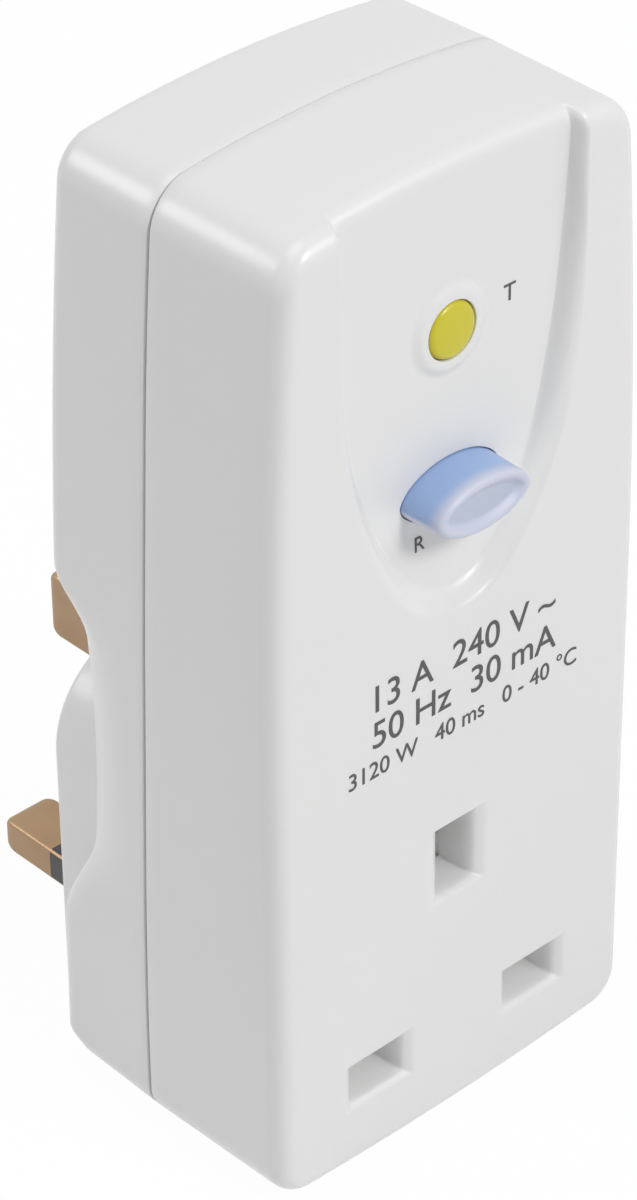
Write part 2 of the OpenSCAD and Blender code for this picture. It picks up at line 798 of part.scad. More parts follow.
// Plunger with a neck that the latch's fork straddles
module trip_plunger() {
    neck_low = latch_z - neck_h / 2;
    top = coil_low_z + coil_l / 2;
    color(steel) translate([0, coil_y, 0]) {
        translate([0, 0, neck_low - plunger_head_t]) cylinder(d = plunger_d, h = plunger_head_t);
        translate([0, 0, neck_low]) cylinder(d = neck_d, h = neck_h);
        translate([0, 0, neck_low + neck_h]) cylinder(d = plunger_d, h = top - neck_low - neck_h);
    }
}
module plunger_spring() {
    color(steel) spring_along_z(0, coil_y, plunger_d - 0.4, coil_low_z + coil_l / 2, coil_low_z + coil_l);
}

// Latch: a lever on its pin, with a fork round the plunger's neck and a tooth over the carriage
module trip_latch() {
    lever_w = 7.6;
    tooth_y = coil_y - 3.6;
    fork_gap = neck_d + 1;
    color(steel) difference() {
        union() {
            block(0, latch_z, lever_w, latch_t, tooth_y, latch_pin_y);
            translate([-lever_w / 2, latch_pin_y, latch_z]) rotate([0, 90, 0])
                cylinder(d = latch_pin_d + 1.6, h = lever_w);
        }
        translate([-case_w, latch_pin_y, latch_z]) rotate([0, 90, 0])
            cylinder(d = latch_pin_d + 2 * loose_gap, h = 2 * case_w);
        block(0, latch_z, fork_gap, 4, tooth_y - 1, coil_y + fork_gap / 2);
    }
}
module latch_pin() {
    pin_half = 6;
    color(steel) translate([-pin_half, latch_pin_y, latch_z]) rotate([0, 90, 0])
        cylinder(d = latch_pin_d, h = 2 * pin_half);
}

// Test button: cap, flange behind the recess floor and a stem towards the board
module test_button() {
    flange_y = recess_back_y + button_gap;
    stem_end = board_y - contact_t - test_travel - bridge_gap;
    color([0.85, 0.8, 0.18]) {
        rod(0, test_z, test_d, floor_y - test_proud, flange_y + 0.1);
        rod(0, test_z, test_d + 2.4, flange_y, flange_y + 1.2);
        rod(0, test_z, 2.6, flange_y + 1, stem_end);
    }
}
module test_spring() {
    color(steel) spring_along_y(0, test_z, test_d - 0.6, recess_back_y + button_gap + 1.2, board_y);
}
module test_contact() {
    color(brass) for (side = [-1, 1]) {
        rod(side * 0.9, test_z, 1.2, board_y - contact_t, board_y);
    }
}

// Parts on the board's back
module test_resistor() {
    color([0.75, 0.65, 0.5]) translate([resistor_x, board_back_y + resistor_d / 2, resistor_z])
        rotate([0, 90, 0]) cylinder(d = resistor_d, h = resistor_l);
}
module smoothing_capacitor() {
    color([0.2, 0.25, 0.5])
        rod(capacitor_x, capacitor_z, capacitor_d, board_back_y, board_back_y + capacitor_l);
}
module control_chip() {
    color([0.12, 0.12, 0.13]) block(chip_x, chip_z, chip_w, chip_h, board_back_y, board_back_y + chip_t);
}

// Reset button: an eye-shaped cap with a dished front, a flange behind the wall and a stem to the carriage
module reset_button() {
    cap_y = floor_y - reset_proud;
    flange_y = recess_back_y + button_gap;
    dish = 0.6;
    rim = 1.7;
    front_w = reset_w - 2 * reset_taper;
    front_h = reset_h - 2 * reset_taper;
    color([0.55, 0.68, 0.86]) difference() {
        union() {
            loft([
                [cap_y, eye(front_w - 0.5, front_h - 0.5)],
                [cap_y + 0.35, eye(front_w, front_h)],
                [floor_y, eye(reset_w, reset_h)],
                [flange_y, eye(reset_w, reset_h)]
            ]);
            slab(flange_y, flange_y + 1.2) polygon(eye(reset_w + 2.4, reset_h + 2.4));
            rod(0, reset_z, 5, flange_y + 1, carriage_front_y);
        }
        loft([
            [cap_y - 1, eye(front_w - rim + 0.6, front_h - rim + 0.6)],
            [cap_y + dish, eye(front_w - 2 * rim, front_h - 2 * rim)]
        ]);
    }
}

// Carriage behind the reset button, which carries a bridging contact for each pole
module contact_carriage() {
    web_h = 5;
    color([0.25, 0.27, 0.3]) {
        block(0, reset_z, carriage_w, web_h, carriage_front_y, carriage_back_y);
        block(0, reset_z, carriage_core_w, carriage_h, carriage_front_y, carriage_back_y);
    }
}
module bridge(side) {
    middle_x = (supply_x + load_x) / 2;
    color(brass) {
        block(side * middle_x, reset_z, supply_x - load_x + bar_w, 4, carriage_back_y, bridge_y);
        for (x = [supply_x, load_x]) {
            rod(side * x, reset_z, contact_d, bridge_y, bridge_back_y);
        }
    }
}
module line_bridge() {
    bridge(-1);
}
module neutral_bridge() {
    bridge(1);
}
module reset_spring() {
    color(steel) spring_along_y(0, reset_z, reset_spring_d, carriage_back_y, upper_floor_y - 1);
}

// Cover screws, from the back
module cover_screws() {
    color(steel) for (site = screw_sites) {
        rod(site.x, site.y, screw_head_d, head_y, head_y + head_t);
        rod(site.x, site.y, screw_d, split_y - screw_reach, head_y);
    }
}

front_cover();
rear_cover();
earth_pin();
line_pin();
neutral_pin();
line_pin_sleeve();
neutral_pin_sleeve();
contact_carrier();
line_socket_contact();
neutral_socket_contact();
earth_socket_contact();
safety_shutter();
shutter_spring();
line_supply_bar();
neutral_supply_bar();
line_load_bar();
neutral_load_bar();
sensing_core();
sensing_winding();
circuit_board();
trip_bobbin();
trip_winding();
trip_frame();
trip_plunger();
plunger_spring();
trip_latch();
latch_pin();
test_button();
test_spring();
test_contact();
test_resistor();
smoothing_capacitor();
control_chip();
reset_button();
contact_carriage();
line_bridge();
neutral_bridge();
reset_spring();
cover_screws();
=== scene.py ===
"""Looks of the plug-in residual-current adapter: smooth moulded covers, buttons, pins, finishes and light.

Shapes are worked out in millimetres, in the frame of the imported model, and turned into metres as meshes are made.
The front faces -Y, the pins point along +Y and +Z is up.
"""

import json
import math

import bmesh
import bpy
import numpy as np
from mathutils import Matrix, Vector
from mathutils.geometry import delaunay_2d_cdt


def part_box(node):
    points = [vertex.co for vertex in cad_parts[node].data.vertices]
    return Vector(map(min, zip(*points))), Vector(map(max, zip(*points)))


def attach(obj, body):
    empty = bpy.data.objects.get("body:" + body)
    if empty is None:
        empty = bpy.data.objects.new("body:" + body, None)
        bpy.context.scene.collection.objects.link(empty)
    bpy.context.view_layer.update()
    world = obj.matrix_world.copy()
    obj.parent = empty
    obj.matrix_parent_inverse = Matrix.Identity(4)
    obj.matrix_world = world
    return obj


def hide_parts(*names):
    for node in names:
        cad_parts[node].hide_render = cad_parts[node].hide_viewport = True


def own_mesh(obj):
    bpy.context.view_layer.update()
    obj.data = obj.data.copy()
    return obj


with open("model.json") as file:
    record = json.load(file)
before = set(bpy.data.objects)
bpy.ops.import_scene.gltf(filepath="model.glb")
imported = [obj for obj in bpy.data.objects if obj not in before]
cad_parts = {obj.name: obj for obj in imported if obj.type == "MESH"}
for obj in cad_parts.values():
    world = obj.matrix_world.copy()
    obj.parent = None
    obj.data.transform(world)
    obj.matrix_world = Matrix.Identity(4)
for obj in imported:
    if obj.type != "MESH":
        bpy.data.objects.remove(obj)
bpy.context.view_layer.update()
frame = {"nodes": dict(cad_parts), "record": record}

MM = 0.001


def box_mm(node):
    """Lowest and highest corner of a CAD node, in millimetres."""
    return tuple(np.array(corner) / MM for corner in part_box(node))


# Main places, from the frame
FRONT_LOW, FRONT_HIGH = box_mm("front_cover")
CASE_W = FRONT_HIGH[0] - FRONT_LOW[0]
CASE_H = FRONT_HIGH[2] - FRONT_LOW[2]
FRONT_Y = FRONT_LOW[1]
SPLIT_Y = FRONT_HIGH[1]
TOP_Z = FRONT_HIGH[2]
BOTTOM_Z = FRONT_LOW[2]
MID_Z = (TOP_Z + BOTTOM_Z) / 2
BASE_D = 5.3
REAR_Y = -BASE_D
TEST_LOW, TEST_HIGH = box_mm("test_button")
RESET_LOW, RESET_HIGH = box_mm("reset_button")
TEST_Z = (TEST_LOW[2] + TEST_HIGH[2]) / 2
RESET_Z = (RESET_LOW[2] + RESET_HIGH[2]) / 2

# Case
WALL = 2.4
CORNER_R = 4.5
TOP_TAPER, BOTTOM_TAPER = 2.5, 0.0
TOP_CROWN, BOTTOM_CROWN = 1.7, 0.9
FRONT_EDGE_R, REAR_EDGE_R = 2.2, 2.3
FRONT_SLOPE, REAR_SLOPE = math.tan(math.radians(1.0)), math.tan(math.radians(1.2))
REAR_LEAN = 2.6
REAR_WALL, LOW_CORNER_SOFT = 4.4, 1.6
# Rounded lips at the joint of the covers: distance from the joint, and how far drawn in
LIP = [(0.34, 0.0), (0.25, 0.02), (0.19, 0.07), (0.17, 0.15), (0.17, 0.9)]
TOP_LIP_CUT = 0.65
# How far the joint runs back towards the bottom, from which height, and over what length
JOINT_DRIFT, JOINT_DRIFT_Z, JOINT_DRIFT_RUN = 2.2, 72, 76

# Recess
RECESS_HALF_W, RECESS_END = 16.2, 33.0
RECESS_Z, RECESS_FLOOR_Z = TOP_Z - 16.9, TOP_Z - 6.2
RECESS_DEPTH, RECESS_RISE, RECESS_LOW_RISE = 2.2, 0.55, 0.5
RECESS_LEAN, RECESS_END_LEAN = 1.0, 2.45
RECESS_EDGE_R, RECESS_EXTRA_WALL = 1.7, 0.7
# Where the lower wall, the left wall and the floor's lower rise begin, and over what length
LOW_WALL_Z, LOW_WALL_RUN = RECESS_Z - 10, 16
LEFT_WALL_X, LEFT_WALL_RUN = 4, 7
LOW_RISE_Z, LOW_RISE_RUN = RECESS_Z - 8, 22
WALL_T = np.linspace(0, 1, 201)


def wall_profile(places, steepness):
    """Depth of the recess's wall on the way from the rim to the floor, from its steepness at some places."""
    depth = np.cumsum(np.interp(WALL_T, places, steepness))
    return (depth - depth[0]) / (depth[-1] - depth[0])


SIDE_WALL = wall_profile([0, 0.45, 0.9, 1], [0, 0.6, 1.9, 0.4])
LOW_WALL = wall_profile([0, 0.07, 0.15, 0.26, 0.7, 0.82, 0.93, 1], [0, 1.3, 1.3, 0.9, 0.9, 1.32, 1.32, 0.1])
LEFT_WALL = wall_profile([0, 0.04, 0.3, 0.45, 0.9, 1], [0, 0.22, 0.3, 1.5, 1.6, 0.2])
FLOOR_Y = FRONT_Y + RECESS_DEPTH
RECESS_BACK_Y = FLOOR_Y + WALL + RECESS_EXTRA_WALL

# Socket openings
PITCH = 22.23
LIVE_X = PITCH / 2
LIVE_SLOT, EARTH_SLOT = (6.45, 4.2), (4.2, 8.1)
SOCKET_Z, SLOT_LIFT = -1.1, 0.1
SLOT_FLARE, SLOT_FLARE_DEPTH, SLOT_DRAFT = 1.2, 0.85, 0.25
# How much of the flare the openings have across and up
LIVE_SHARES, EARTH_SHARES = (1.03, 0.66), (1.18, 0.47)
SLOT_CORNER_R = 0.3
SOCKET_BACK_Y = FRONT_Y + 5.0
SOCKET_ROOM_TOP, SOCKET_ROOM_STEP = RECESS_Z - RECESS_END - WALL, 0.8

# Buttons
TEST_D, TEST_PROUD, TEST_SOFT, TEST_CROWN, TEST_STEM_R = 6.1, 0.75, 0.75, 0.12, 1.3
TEST_COLLAR_D, COLLAR_H, COLLAR_FOOT, COLLAR_RUN = 9.2, 0.5, 0.5, 1.3
RESET_W, RESET_H, RESET_PROUD, RESET_TAPER = 12.9, 6.3, 5.3, 0.2
RESET_RIM_R, RESET_RIM_W, RESET_DISH, RESET_STEM_D = 0.6, 1.1, 0.7, 5.0
RESET_CAP_Y = FLOOR_Y - RESET_PROUD
EYE_POWER, EYE_POINTS = 1.18, 128
TEST_GAP, RESET_GAP = 0.1, 0.13
TEST_MOUTH_R, RESET_MOUTH_R = 0.08, 0.06
FLANGE_Y, FLANGE_T, FLANGE_OUT = RECESS_BACK_Y + 0.3, 1.2, 1.2

# Plug base, finger grips and screws
BASE_W = CASE_W - 8.8
BASE_TOP, BASE_DROP = 35.8, 11.6
SHOULDER_R, BASE_CORNER_R, BASE_EDGE, BASE_SIDE_Y = 11.5, 5.0, 0.8, -3.0
GRIP_DEPTH, GRIP_TOP, GRIP_BOTTOM = 3.5, TOP_Z - 48.4, 8.0
GRIP_EDGE_W, GRIP_EDGE_D = 2.4, 6.0
GRIP_TOP_RUN, GRIP_BOTTOM_RUN = 8.0, 12.0
SCOOP_DEPTH, SCOOP_L = 1.1, 8.0
WEB_HALF_W, WEB_RUN = 17.1, 1.6
SCREW_HOLE_D, SCREW_MOUTH_R = 5.3, 0.25
SCREW_TOP = (CASE_W / 2 - 8.2, TOP_Z - 10.0)
SCREW_LOW = (17.5, 13.0)
SCREW_HEAD_Y = REAR_Y - 2.6

# Pins
PIN_T, LIVE_PIN_W, EARTH_PIN_H = 3.97, 6.35, 7.92
LIVE_PIN_L, EARTH_PIN_L, SLEEVE_L = 17.7, 23.1, 10.0
PIN_HEAD_Y = -12.0
# Each pin's place, size and length
PINS = [("line", -LIVE_X, 0, LIVE_PIN_W, PIN_T, LIVE_PIN_L), ("neutral", LIVE_X, 0, LIVE_PIN_W, PIN_T, LIVE_PIN_L),
        ("earth", 0, PITCH, PIN_T, EARTH_PIN_H, EARTH_PIN_L)]
SLEEVES = [("line", -LIVE_X), ("neutral", LIVE_X)]

# Each spring's axis, the end that stays, its joint and travel, wire and number of turns
COILS = [("test", 1, 1, "test_press", 1.2, 0.5, 6), ("reset", 1, 1, "reset_press", 3.5, 0.7, 7),
         ("plunger", 2, 1, "plunger_pull", 1.5, 0.4, 6), ("shutter", 2, 0, "shutter_drop", 5.0, 0.22, 5)]


def ease(t):
    """Soft step from 0 to 1."""
    t = np.clip(t, 0.0, 1.0)
    return t * t * (3 - 2 * t)


# Outlines

CORNER_STEPS, LONG_POINTS, SHORT_POINTS = 14, 80, 200


def case_base():
    """Points of the case's plain rounded rectangle, with the outward direction at each, counter-clockwise."""
    half_w, half_h = CASE_W / 2, CASE_H / 2
    centres = [(1, 1, 0), (-1, 1, 90), (-1, -1, 180), (1, -1, 270)]
    points, normals = [], []
    for number, (sx, sz, start) in enumerate(centres):
        centre = np.array([sx * (half_w - CORNER_R), sz * (half_h - CORNER_R)])
        for step in range(CORNER_STEPS + 1):
            angle = math.radians(start + 90 * step / CORNER_STEPS)
            normals.append((math.cos(angle), math.sin(angle)))
            points.append(centre + CORNER_R * np.array(normals[-1]))
        here, count = points[-1], (SHORT_POINTS, LONG_POINTS)[number % 2]
        sx, sz, _ = centres[(number + 1) % 4]
        ahead = np.array([sx * (half_w - CORNER_R), sz * (half_h - CORNER_R)]) + CORNER_R * np.array(normals[-1])
        for step in range(1, count + 1):
            points.append(here + (ahead - here) * step / (count + 1))
            normals.append(normals[-1])
    return np.array(points), np.array(normals)


CASE_POINTS, CASE_NORMALS = case_base()
# The joint closes tighter along the top
LIP_SHARE = 1 - TOP_LIP_CUT * np.clip(CASE_NORMALS[:, 1], 0, 1)


def joint_depth(z):
    """Depth of the joint between the covers, which runs back a little towards the bottom."""
    return SPLIT_Y + JOINT_DRIFT * ease((JOINT_DRIFT_Z - z) / JOINT_DRIFT_RUN)


def case_ring(inset, y):
    """Ring of the case drawn in by inset at depth y; both may differ from point to point."""
    p = CASE_POINTS - np.broadcast_to(np.asarray(inset, float), (len(CASE_POINTS),))[:, None] * CASE_NORMALS
    u, v = p[:, 0] / (CASE_W / 2), p[:, 1] / (CASE_H / 2)
    taper = np.where(v > 0, TOP_TAPER, BOTTOM_TAPER)
    crown = np.where(v > 0, TOP_CROWN, BOTTOM_CROWN)
    x = p[:, 0] * (1 - taper * v * v / (CASE_W / 2))
    z = MID_Z + p[:, 1] * (1 - crown * u * u / (CASE_H / 2))
    return np.stack([x, np.broadcast_to(y, x.shape), z], 1)


def circle(x, z, d, count=64):
    """Round outline."""
    a = np.linspace(0, 2 * np.pi, count, endpoint=False)
    return np.stack([x + d / 2 * np.cos(a), z + d / 2 * np.sin(a)], 1)


def eye(w, h):
    """Eye-shaped outline of the reset button: two arcs that meet in rounded points."""
    a = np.linspace(0, 2 * np.pi, EYE_POINTS, endpoint=False)
    lift = np.sign(np.sin(a)) * np.abs(np.sin(a)) ** EYE_POWER
    return np.stack([w / 2 * np.cos(a), RESET_Z + h / 2 * lift], 1)


def rounded_rectangle(x, z, w, h, r, steps=6, along=8):
    """Rounded rectangle, with points along its straight sides too."""
    r = max(r, 0.02)
    corners = [(x + w / 2 - r, z + h / 2 - r, 0), (x - w / 2 + r, z + h / 2 - r, 90),
               (x - w / 2 + r, z - h / 2 + r, 180), (x + w / 2 - r, z - h / 2 + r, 270)]
    points = []
    for number, (cx, cz, start) in enumerate(corners):
        for step in range(steps + 1):
            a = math.radians(start + 90 * step / steps)
            points.append((cx + r * math.cos(a), cz + r * math.sin(a)))
        nx, nz, start = corners[(number + 1) % 4]
        a = math.radians(start)
        here, ahead = np.array(points[-1]), np.array((nx + r * math.cos(a), nz + r * math.sin(a)))
        points.extend(here + (ahead - here) * step / (along + 1) for step in range(1, along + 1))
    return np.array(points)


def base_outline(inset):
    """Outline of the plug base: round shoulders above, small corners below."""
    half, high, low = BASE_W / 2, BASE_TOP - SHOULDER_R, BASE_CORNER_R - BASE_DROP
    arcs = [(half - SHOULDER_R, high, SHOULDER_R, 0), (SHOULDER_R - half, high, SHOULDER_R, 90),
            (BASE_CORNER_R - half, low, BASE_CORNER_R, 180), (half - BASE_CORNER_R, low, BASE_CORNER_R, 270)]
    points = []
    for number, (cx, cz, r, start) in enumerate(arcs):
        for a in np.radians(np.linspace(start, start + 90, 17)):
            points.append((cx + (r - inset) * math.cos(a), cz + (r - inset) * math.sin(a)))
        nx, nz, nr, start = arcs[(number + 1) % 4]
        a = math.radians(start)
        here = np.array(points[-1])
        ahead = np.array((nx + (nr - inset) * math.cos(a), nz + (nr - inset) * math.sin(a)))
        points.extend(here + (ahead - here) * step / 24 for step in range(1, 24))
    return np.array(points)


# Surfaces, as a depth over the front view

def recess_size(t):
    """Half width, middle and half height of the recess's outline, from its rim (0) to its floor (1)."""
    middle = RECESS_Z + t * (RECESS_FLOOR_Z - RECESS_Z)
    return RECESS_HALF_W - t * RECESS_LEAN, middle, middle - (RECESS_Z - RECESS_END + t * RECESS_END_LEAN)


def recess_share(x, z):
    """0 on the front face, 1 on the recess floor; the wall between differs at the right, below and at the left."""
    low, high = np.zeros(np.shape(x)), np.ones(np.shape(x))
    for _ in range(24):
        t = (low + high) / 2
        half_w, middle, half_h = recess_size(t)
        outside = np.hypot(x / half_w, np.minimum(z - middle, 0.0) / half_h) > 1
        low, high = np.where(outside, low, t), np.where(outside, t, high)
    t = (low + high) / 2
    below = ease((LOW_WALL_Z - z) / LOW_WALL_RUN)
    wall = np.interp(t, WALL_T, SIDE_WALL) * (1 - below) + np.interp(t, WALL_T, LOW_WALL) * below
    left = ease((-x - LEFT_WALL_X) / LEFT_WALL_RUN)
    return wall * (1 - left) + np.interp(t, WALL_T, LEFT_WALL) * left


def collar_height(x, z):
    """Height of the soft collar round the test button."""
    r = np.hypot(x, z - TEST_Z)
    return COLLAR_H * ease((TEST_COLLAR_D / 2 + COLLAR_FOOT - r) / COLLAR_RUN)


def recess_depth(z):
    """Depth of the recess floor, which rises towards the top edge and the lower end."""
    top, end = ease((z - RECESS_Z) / (TOP_Z - RECESS_Z)), ease((LOW_RISE_Z - z) / LOW_RISE_RUN)
    return RECESS_DEPTH - RECESS_RISE * top - RECESS_LOW_RISE * end


def front_depth(x, z):
    """Outside of the front cover."""
    return FRONT_Y + recess_depth(z) * recess_share(x, z) - collar_height(x, z)


def front_inner_depth(x, z):
    """Inside of the front cover, deeper behind the recess than behind the socket."""
    return SOCKET_BACK_Y + (RECESS_BACK_Y - SOCKET_BACK_Y) * ease((z - SOCKET_ROOM_TOP) / SOCKET_ROOM_STEP)


def grip_share(z):
    """0 outside the finger grips' height, 1 along their floor."""
    return ease((GRIP_TOP - z) / GRIP_TOP_RUN) * ease((z - GRIP_BOTTOM) / GRIP_BOTTOM_RUN)


def back_depth(x, z):
    """Back of the case, which leans and dips into the finger grips."""
    lean = REAR_LEAN / CASE_H * (MID_Z - z)
    beside = ease((np.abs(x) - WEB_HALF_W) / WEB_RUN)
    return REAR_Y + lean - (GRIP_DEPTH + lean) * grip_share(z) * beside


# Rooms inside the rear cover: two corners and the depth of each
REAR_ROOMS = [((-14.7, -6.0), (14.7, 58.0), -11.0), ((-19.0, -6.0), (19.0, 24.0), -11.0),
              ((-8.8, 37.5), (8.8, 47.3), -8.3), ((-18.7, 56.0), (18.7, 95.0), -8.3)]
REAR_FLOOR_Y = -12.1


def rear_inner_depth(x, z):
    """Inside of the rear cover, with its rooms."""
    depth = np.full(np.shape(x), REAR_FLOOR_Y)
    for (x0, z0), (x1, z1), floor in REAR_ROOMS:
        depth = np.where((x > x0) & (x < x1) & (z > z0) & (z < z1), np.maximum(depth, floor), depth)
    return depth


# Mesh building

def inside(points, polygon):
    """Which points lie inside a closed outline."""
    x, z = points[:, 0][:, None], points[:, 1][:, None]
    a, b = polygon, np.roll(polygon, -1, 0)
    rise = np.where(a[:, 1] == b[:, 1], 1e-12, b[:, 1] - a[:, 1])
    crosses = ((a[:, 1] > z) != (b[:, 1] > z)) & (x < a[:, 0] + (z - a[:, 1]) * (b[:, 0] - a[:, 0]) / rise)
    return crosses.sum(1) % 2 == 1


def spaced(groups, taken, keep_off):
    """Points of the groups, in order, that lie at least their group's gap from each other and keep_off from taken."""
    cell = 0.5
    grid = {}

    def place(p, gap):
        grid.setdefault((int(p[0] // cell), int(p[1] // cell)), []).append((p[0], p[1], gap))

    def clear(p, gap):
        reach = int(gap // cell) + 1
        i, k = int(p[0] // cell), int(p[1] // cell)
        for a in range(i - reach, i + reach + 1):
            for b in range(k - reach, k + reach + 1):
                for x, z, least in grid.get((a, b), ()):
                    if math.hypot(p[0] - x, p[1] - z) < min(gap, least):
                        return False
        return True

    for p in taken:
        place(p, keep_off)
    found = []
    for gap, points in groups:
        for p in points:
            if clear(p, gap):
                place(p, gap)
                found.append(p)
    return np.array(found)


SHARP_EDGE = math.radians(38)


class Shell:
    """Closed mesh made of rings, walls between them and faces filled over an outline."""

    def __init__(self):
        self.points, self.faces = [], []

    def ring(self, xyz):
        start = len(self.points)
        self.points.extend(tuple(p) for p in xyz)
        return list(range(start, len(self.points)))

    def tube(self, rings):
        """Walls through rings of equal counts; returns the first and last ring."""
        loops = [self.ring(r) for r in rings]
        for a, b in zip(loops, loops[1:]):
            for i in range(len(a)):
                j = (i + 1) % len(a)
                self.faces.append((a[i], a[j], b[j], b[i]))
        return loops[0], loops[-1]

    def cap(self, loop):
        self.faces.append(tuple(loop))

    def bar(self, rings):
        """Tube with both its ends closed."""
        first, last = self.tube(rings)
        self.cap(first)
        self.cap(last)

    def fill(self, outer, holes, groups, depth):
        """Triangles inside the outer ring and outside the holes, at the depth given over the front view."""
        loops = [outer, *holes]
        outlines = [np.array([(self.points[i][0], self.points[i][2]) for i in loop]) for loop in loops]
        rim = np.concatenate(outlines)
        owners = [i for loop in loops for i in loop]
        extra = spaced(groups, rim, 0.35)
        keep = inside(extra, outlines[0])
        for outline in outlines[1:]:
            keep &= ~inside(extra, outline)
        extra = extra[keep]
        edges, start = [], 0
        for loop in loops:
            n = len(loop)
            edges.extend((start + i, start + (i + 1) % n) for i in range(n))
            start += n
        flat = np.concatenate([rim, extra])
        places, _, faces, sources, _, _ = delaunay_2d_cdt([Vector(p) for p in flat], edges, [], 0, 1e-6)
        places = np.array([(p.x, p.y) for p in places])
        y = depth(places[:, 0], places[:, 1])
        index = []
        for i, source in enumerate(sources):
            own = [s for s in source if s < len(owners)]
            if own:
                index.append(owners[own[0]])
            else:
                index.append(len(self.points))
                self.points.append((places[i, 0], y[i], places[i, 1]))
        faces = np.array(faces)
        middles = places[faces].mean(1)
        shown = inside(middles, outlines[0])
        for outline in outlines[1:]:
            shown &= ~inside(middles, outline)
        self.faces.extend(tuple(index[i] for i in face) for face in faces[shown])

    def piece(self, name, material, body, slot, stands_for=()):
        """Object in metres that rides on a body, smooth apart from its sharp edges."""
        mesh = bpy.data.meshes.new(name)
        mesh.from_pydata([tuple(c * MM for c in p) for p in self.points], [], self.faces)
        work = bmesh.new()
        work.from_mesh(mesh)
        bmesh.ops.recalc_face_normals(work, faces=work.faces)
        work.to_mesh(mesh)
        work.free()
        mesh.shade_smooth()
        mesh.set_sharp_from_angle(angle=SHARP_EDGE)
        mesh.materials.append(material)
        piece = bpy.data.objects.new(name, mesh)
        bpy.context.scene.collection.objects.link(piece)
        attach(piece, body)
        if stands_for:
            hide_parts(*stands_for)
        return piece


def grid_points(low, high, step):
    """Even points over a rectangle."""
    x, z = np.meshgrid(np.arange(low[0], high[0], step), np.arange(low[1], high[1], step))
    return np.stack([x.ravel(), z.ravel()], 1)


def at_depth(outline, y):
    """Ring of an outline at one depth, or at a depth for each point."""
    return np.stack([outline[:, 0], np.broadcast_to(y, (len(outline),)), outline[:, 1]], 1)


def quarter(count):
    """Angles of a quarter round, from the face to the wall."""
    return np.radians(np.linspace(0, 90, count))


# Covers

def round_mouth(r):
    """Rounded mouth of an opening: how much wider the opening is on each side, and how deep."""
    return [(r * (1 - math.sin(a)), r * (1 - math.cos(a))) for a in quarter(6)]


def soft_corner(before, corner, after):
    """Curve that rounds off a corner between two points beside it."""
    t = np.linspace(0, 1, 7)[:, None]
    before, corner, after = np.array(before), np.array(corner), np.array(after)
    return [tuple(p) for p in (1 - t) ** 2 * before + 2 * t * (1 - t) * corner + t * t * after]


def flared_mouth():
    """Flare of a socket opening, soft where it meets the face and the drafted wall."""
    face, wall = np.array([SLOT_FLARE + SLOT_DRAFT, 0.0]), np.array([SLOT_DRAFT, SLOT_FLARE_DEPTH])
    along, draft = (wall - face) / np.linalg.norm(wall - face), (-0.12, 1.8)
    face_soft, wall_soft = 0.4, 0.6
    rim = soft_corner(face + (face_soft, 0), face, face + face_soft * along)
    return rim + soft_corner(wall - wall_soft * along, wall, wall + draft)


def opening_rings(outline, mouth):
    """Rings of an opening: a shaped mouth at the face's own depth, then a straight wall to the cover's inside."""
    rings = []
    for wider, deep in mouth:
        loop = outline(2 * wider)
        rings.append(at_depth(loop, front_depth(loop[:, 0], loop[:, 1]) + deep))
    loop = outline(0)
    rings.append(at_depth(loop, front_inner_depth(loop[:, 0], loop[:, 1])))
    return rings


def front_openings():
    """Outlines of the front cover's openings, by how much wider they are, with the shapes of their mouths."""
    def slot(x, z, size, shares):
        def outline(wider):
            w, h = (length + share * wider for length, share in zip(size, shares))
            return rounded_rectangle(x, z, w, h, SLOT_CORNER_R)
        return outline

    def test_hole(wider):
        return circle(0, TEST_Z, TEST_D + 2 * TEST_GAP + wider)

    def reset_hole(wider):
        return eye(RESET_W + 2 * RESET_GAP + wider, RESET_H + 2 * RESET_GAP + wider)

    sockets = [slot(side * LIVE_X, SOCKET_Z + SLOT_LIFT, LIVE_SLOT, LIVE_SHARES) for side in (-1, 1)]
    sockets.append(slot(0, PITCH + SOCKET_Z + SLOT_LIFT, EARTH_SLOT, EARTH_SHARES))
    buttons = [(test_hole, round_mouth(TEST_MOUTH_R)), (reset_hole, round_mouth(RESET_MOUTH_R))]
    return [(outline, flared_mouth()) for outline in sockets] + buttons


def recess_rows():
    """Points along the recess wall, row by row from outside the rim to inside the floor.

    Above turn_z the rows share their heights and below it their angles, so the points lie beside each other.
    """
    rows = []
    turn_z = RECESS_Z - 0.6 * RECESS_END
    up = np.arange(turn_z, TOP_Z, 0.35)
    for t in [-0.2, -0.08, *np.linspace(0, 1, 16), 1.1, 1.25]:
        half_w, middle, half_h = recess_size(t)
        x = half_w * np.sqrt(1 - (np.minimum(up - middle, 0) / half_h) ** 2)
        rows.extend(np.stack([side * x, up], 1) for side in (-1, 1))
        turn = math.asin((turn_z - middle) / half_h)
        a = np.linspace(-math.pi - turn, turn, 122)[1:-1]
        rows.append(np.stack([half_w * np.cos(a), middle + half_h * np.sin(a)], 1))
    return np.concatenate(rows)


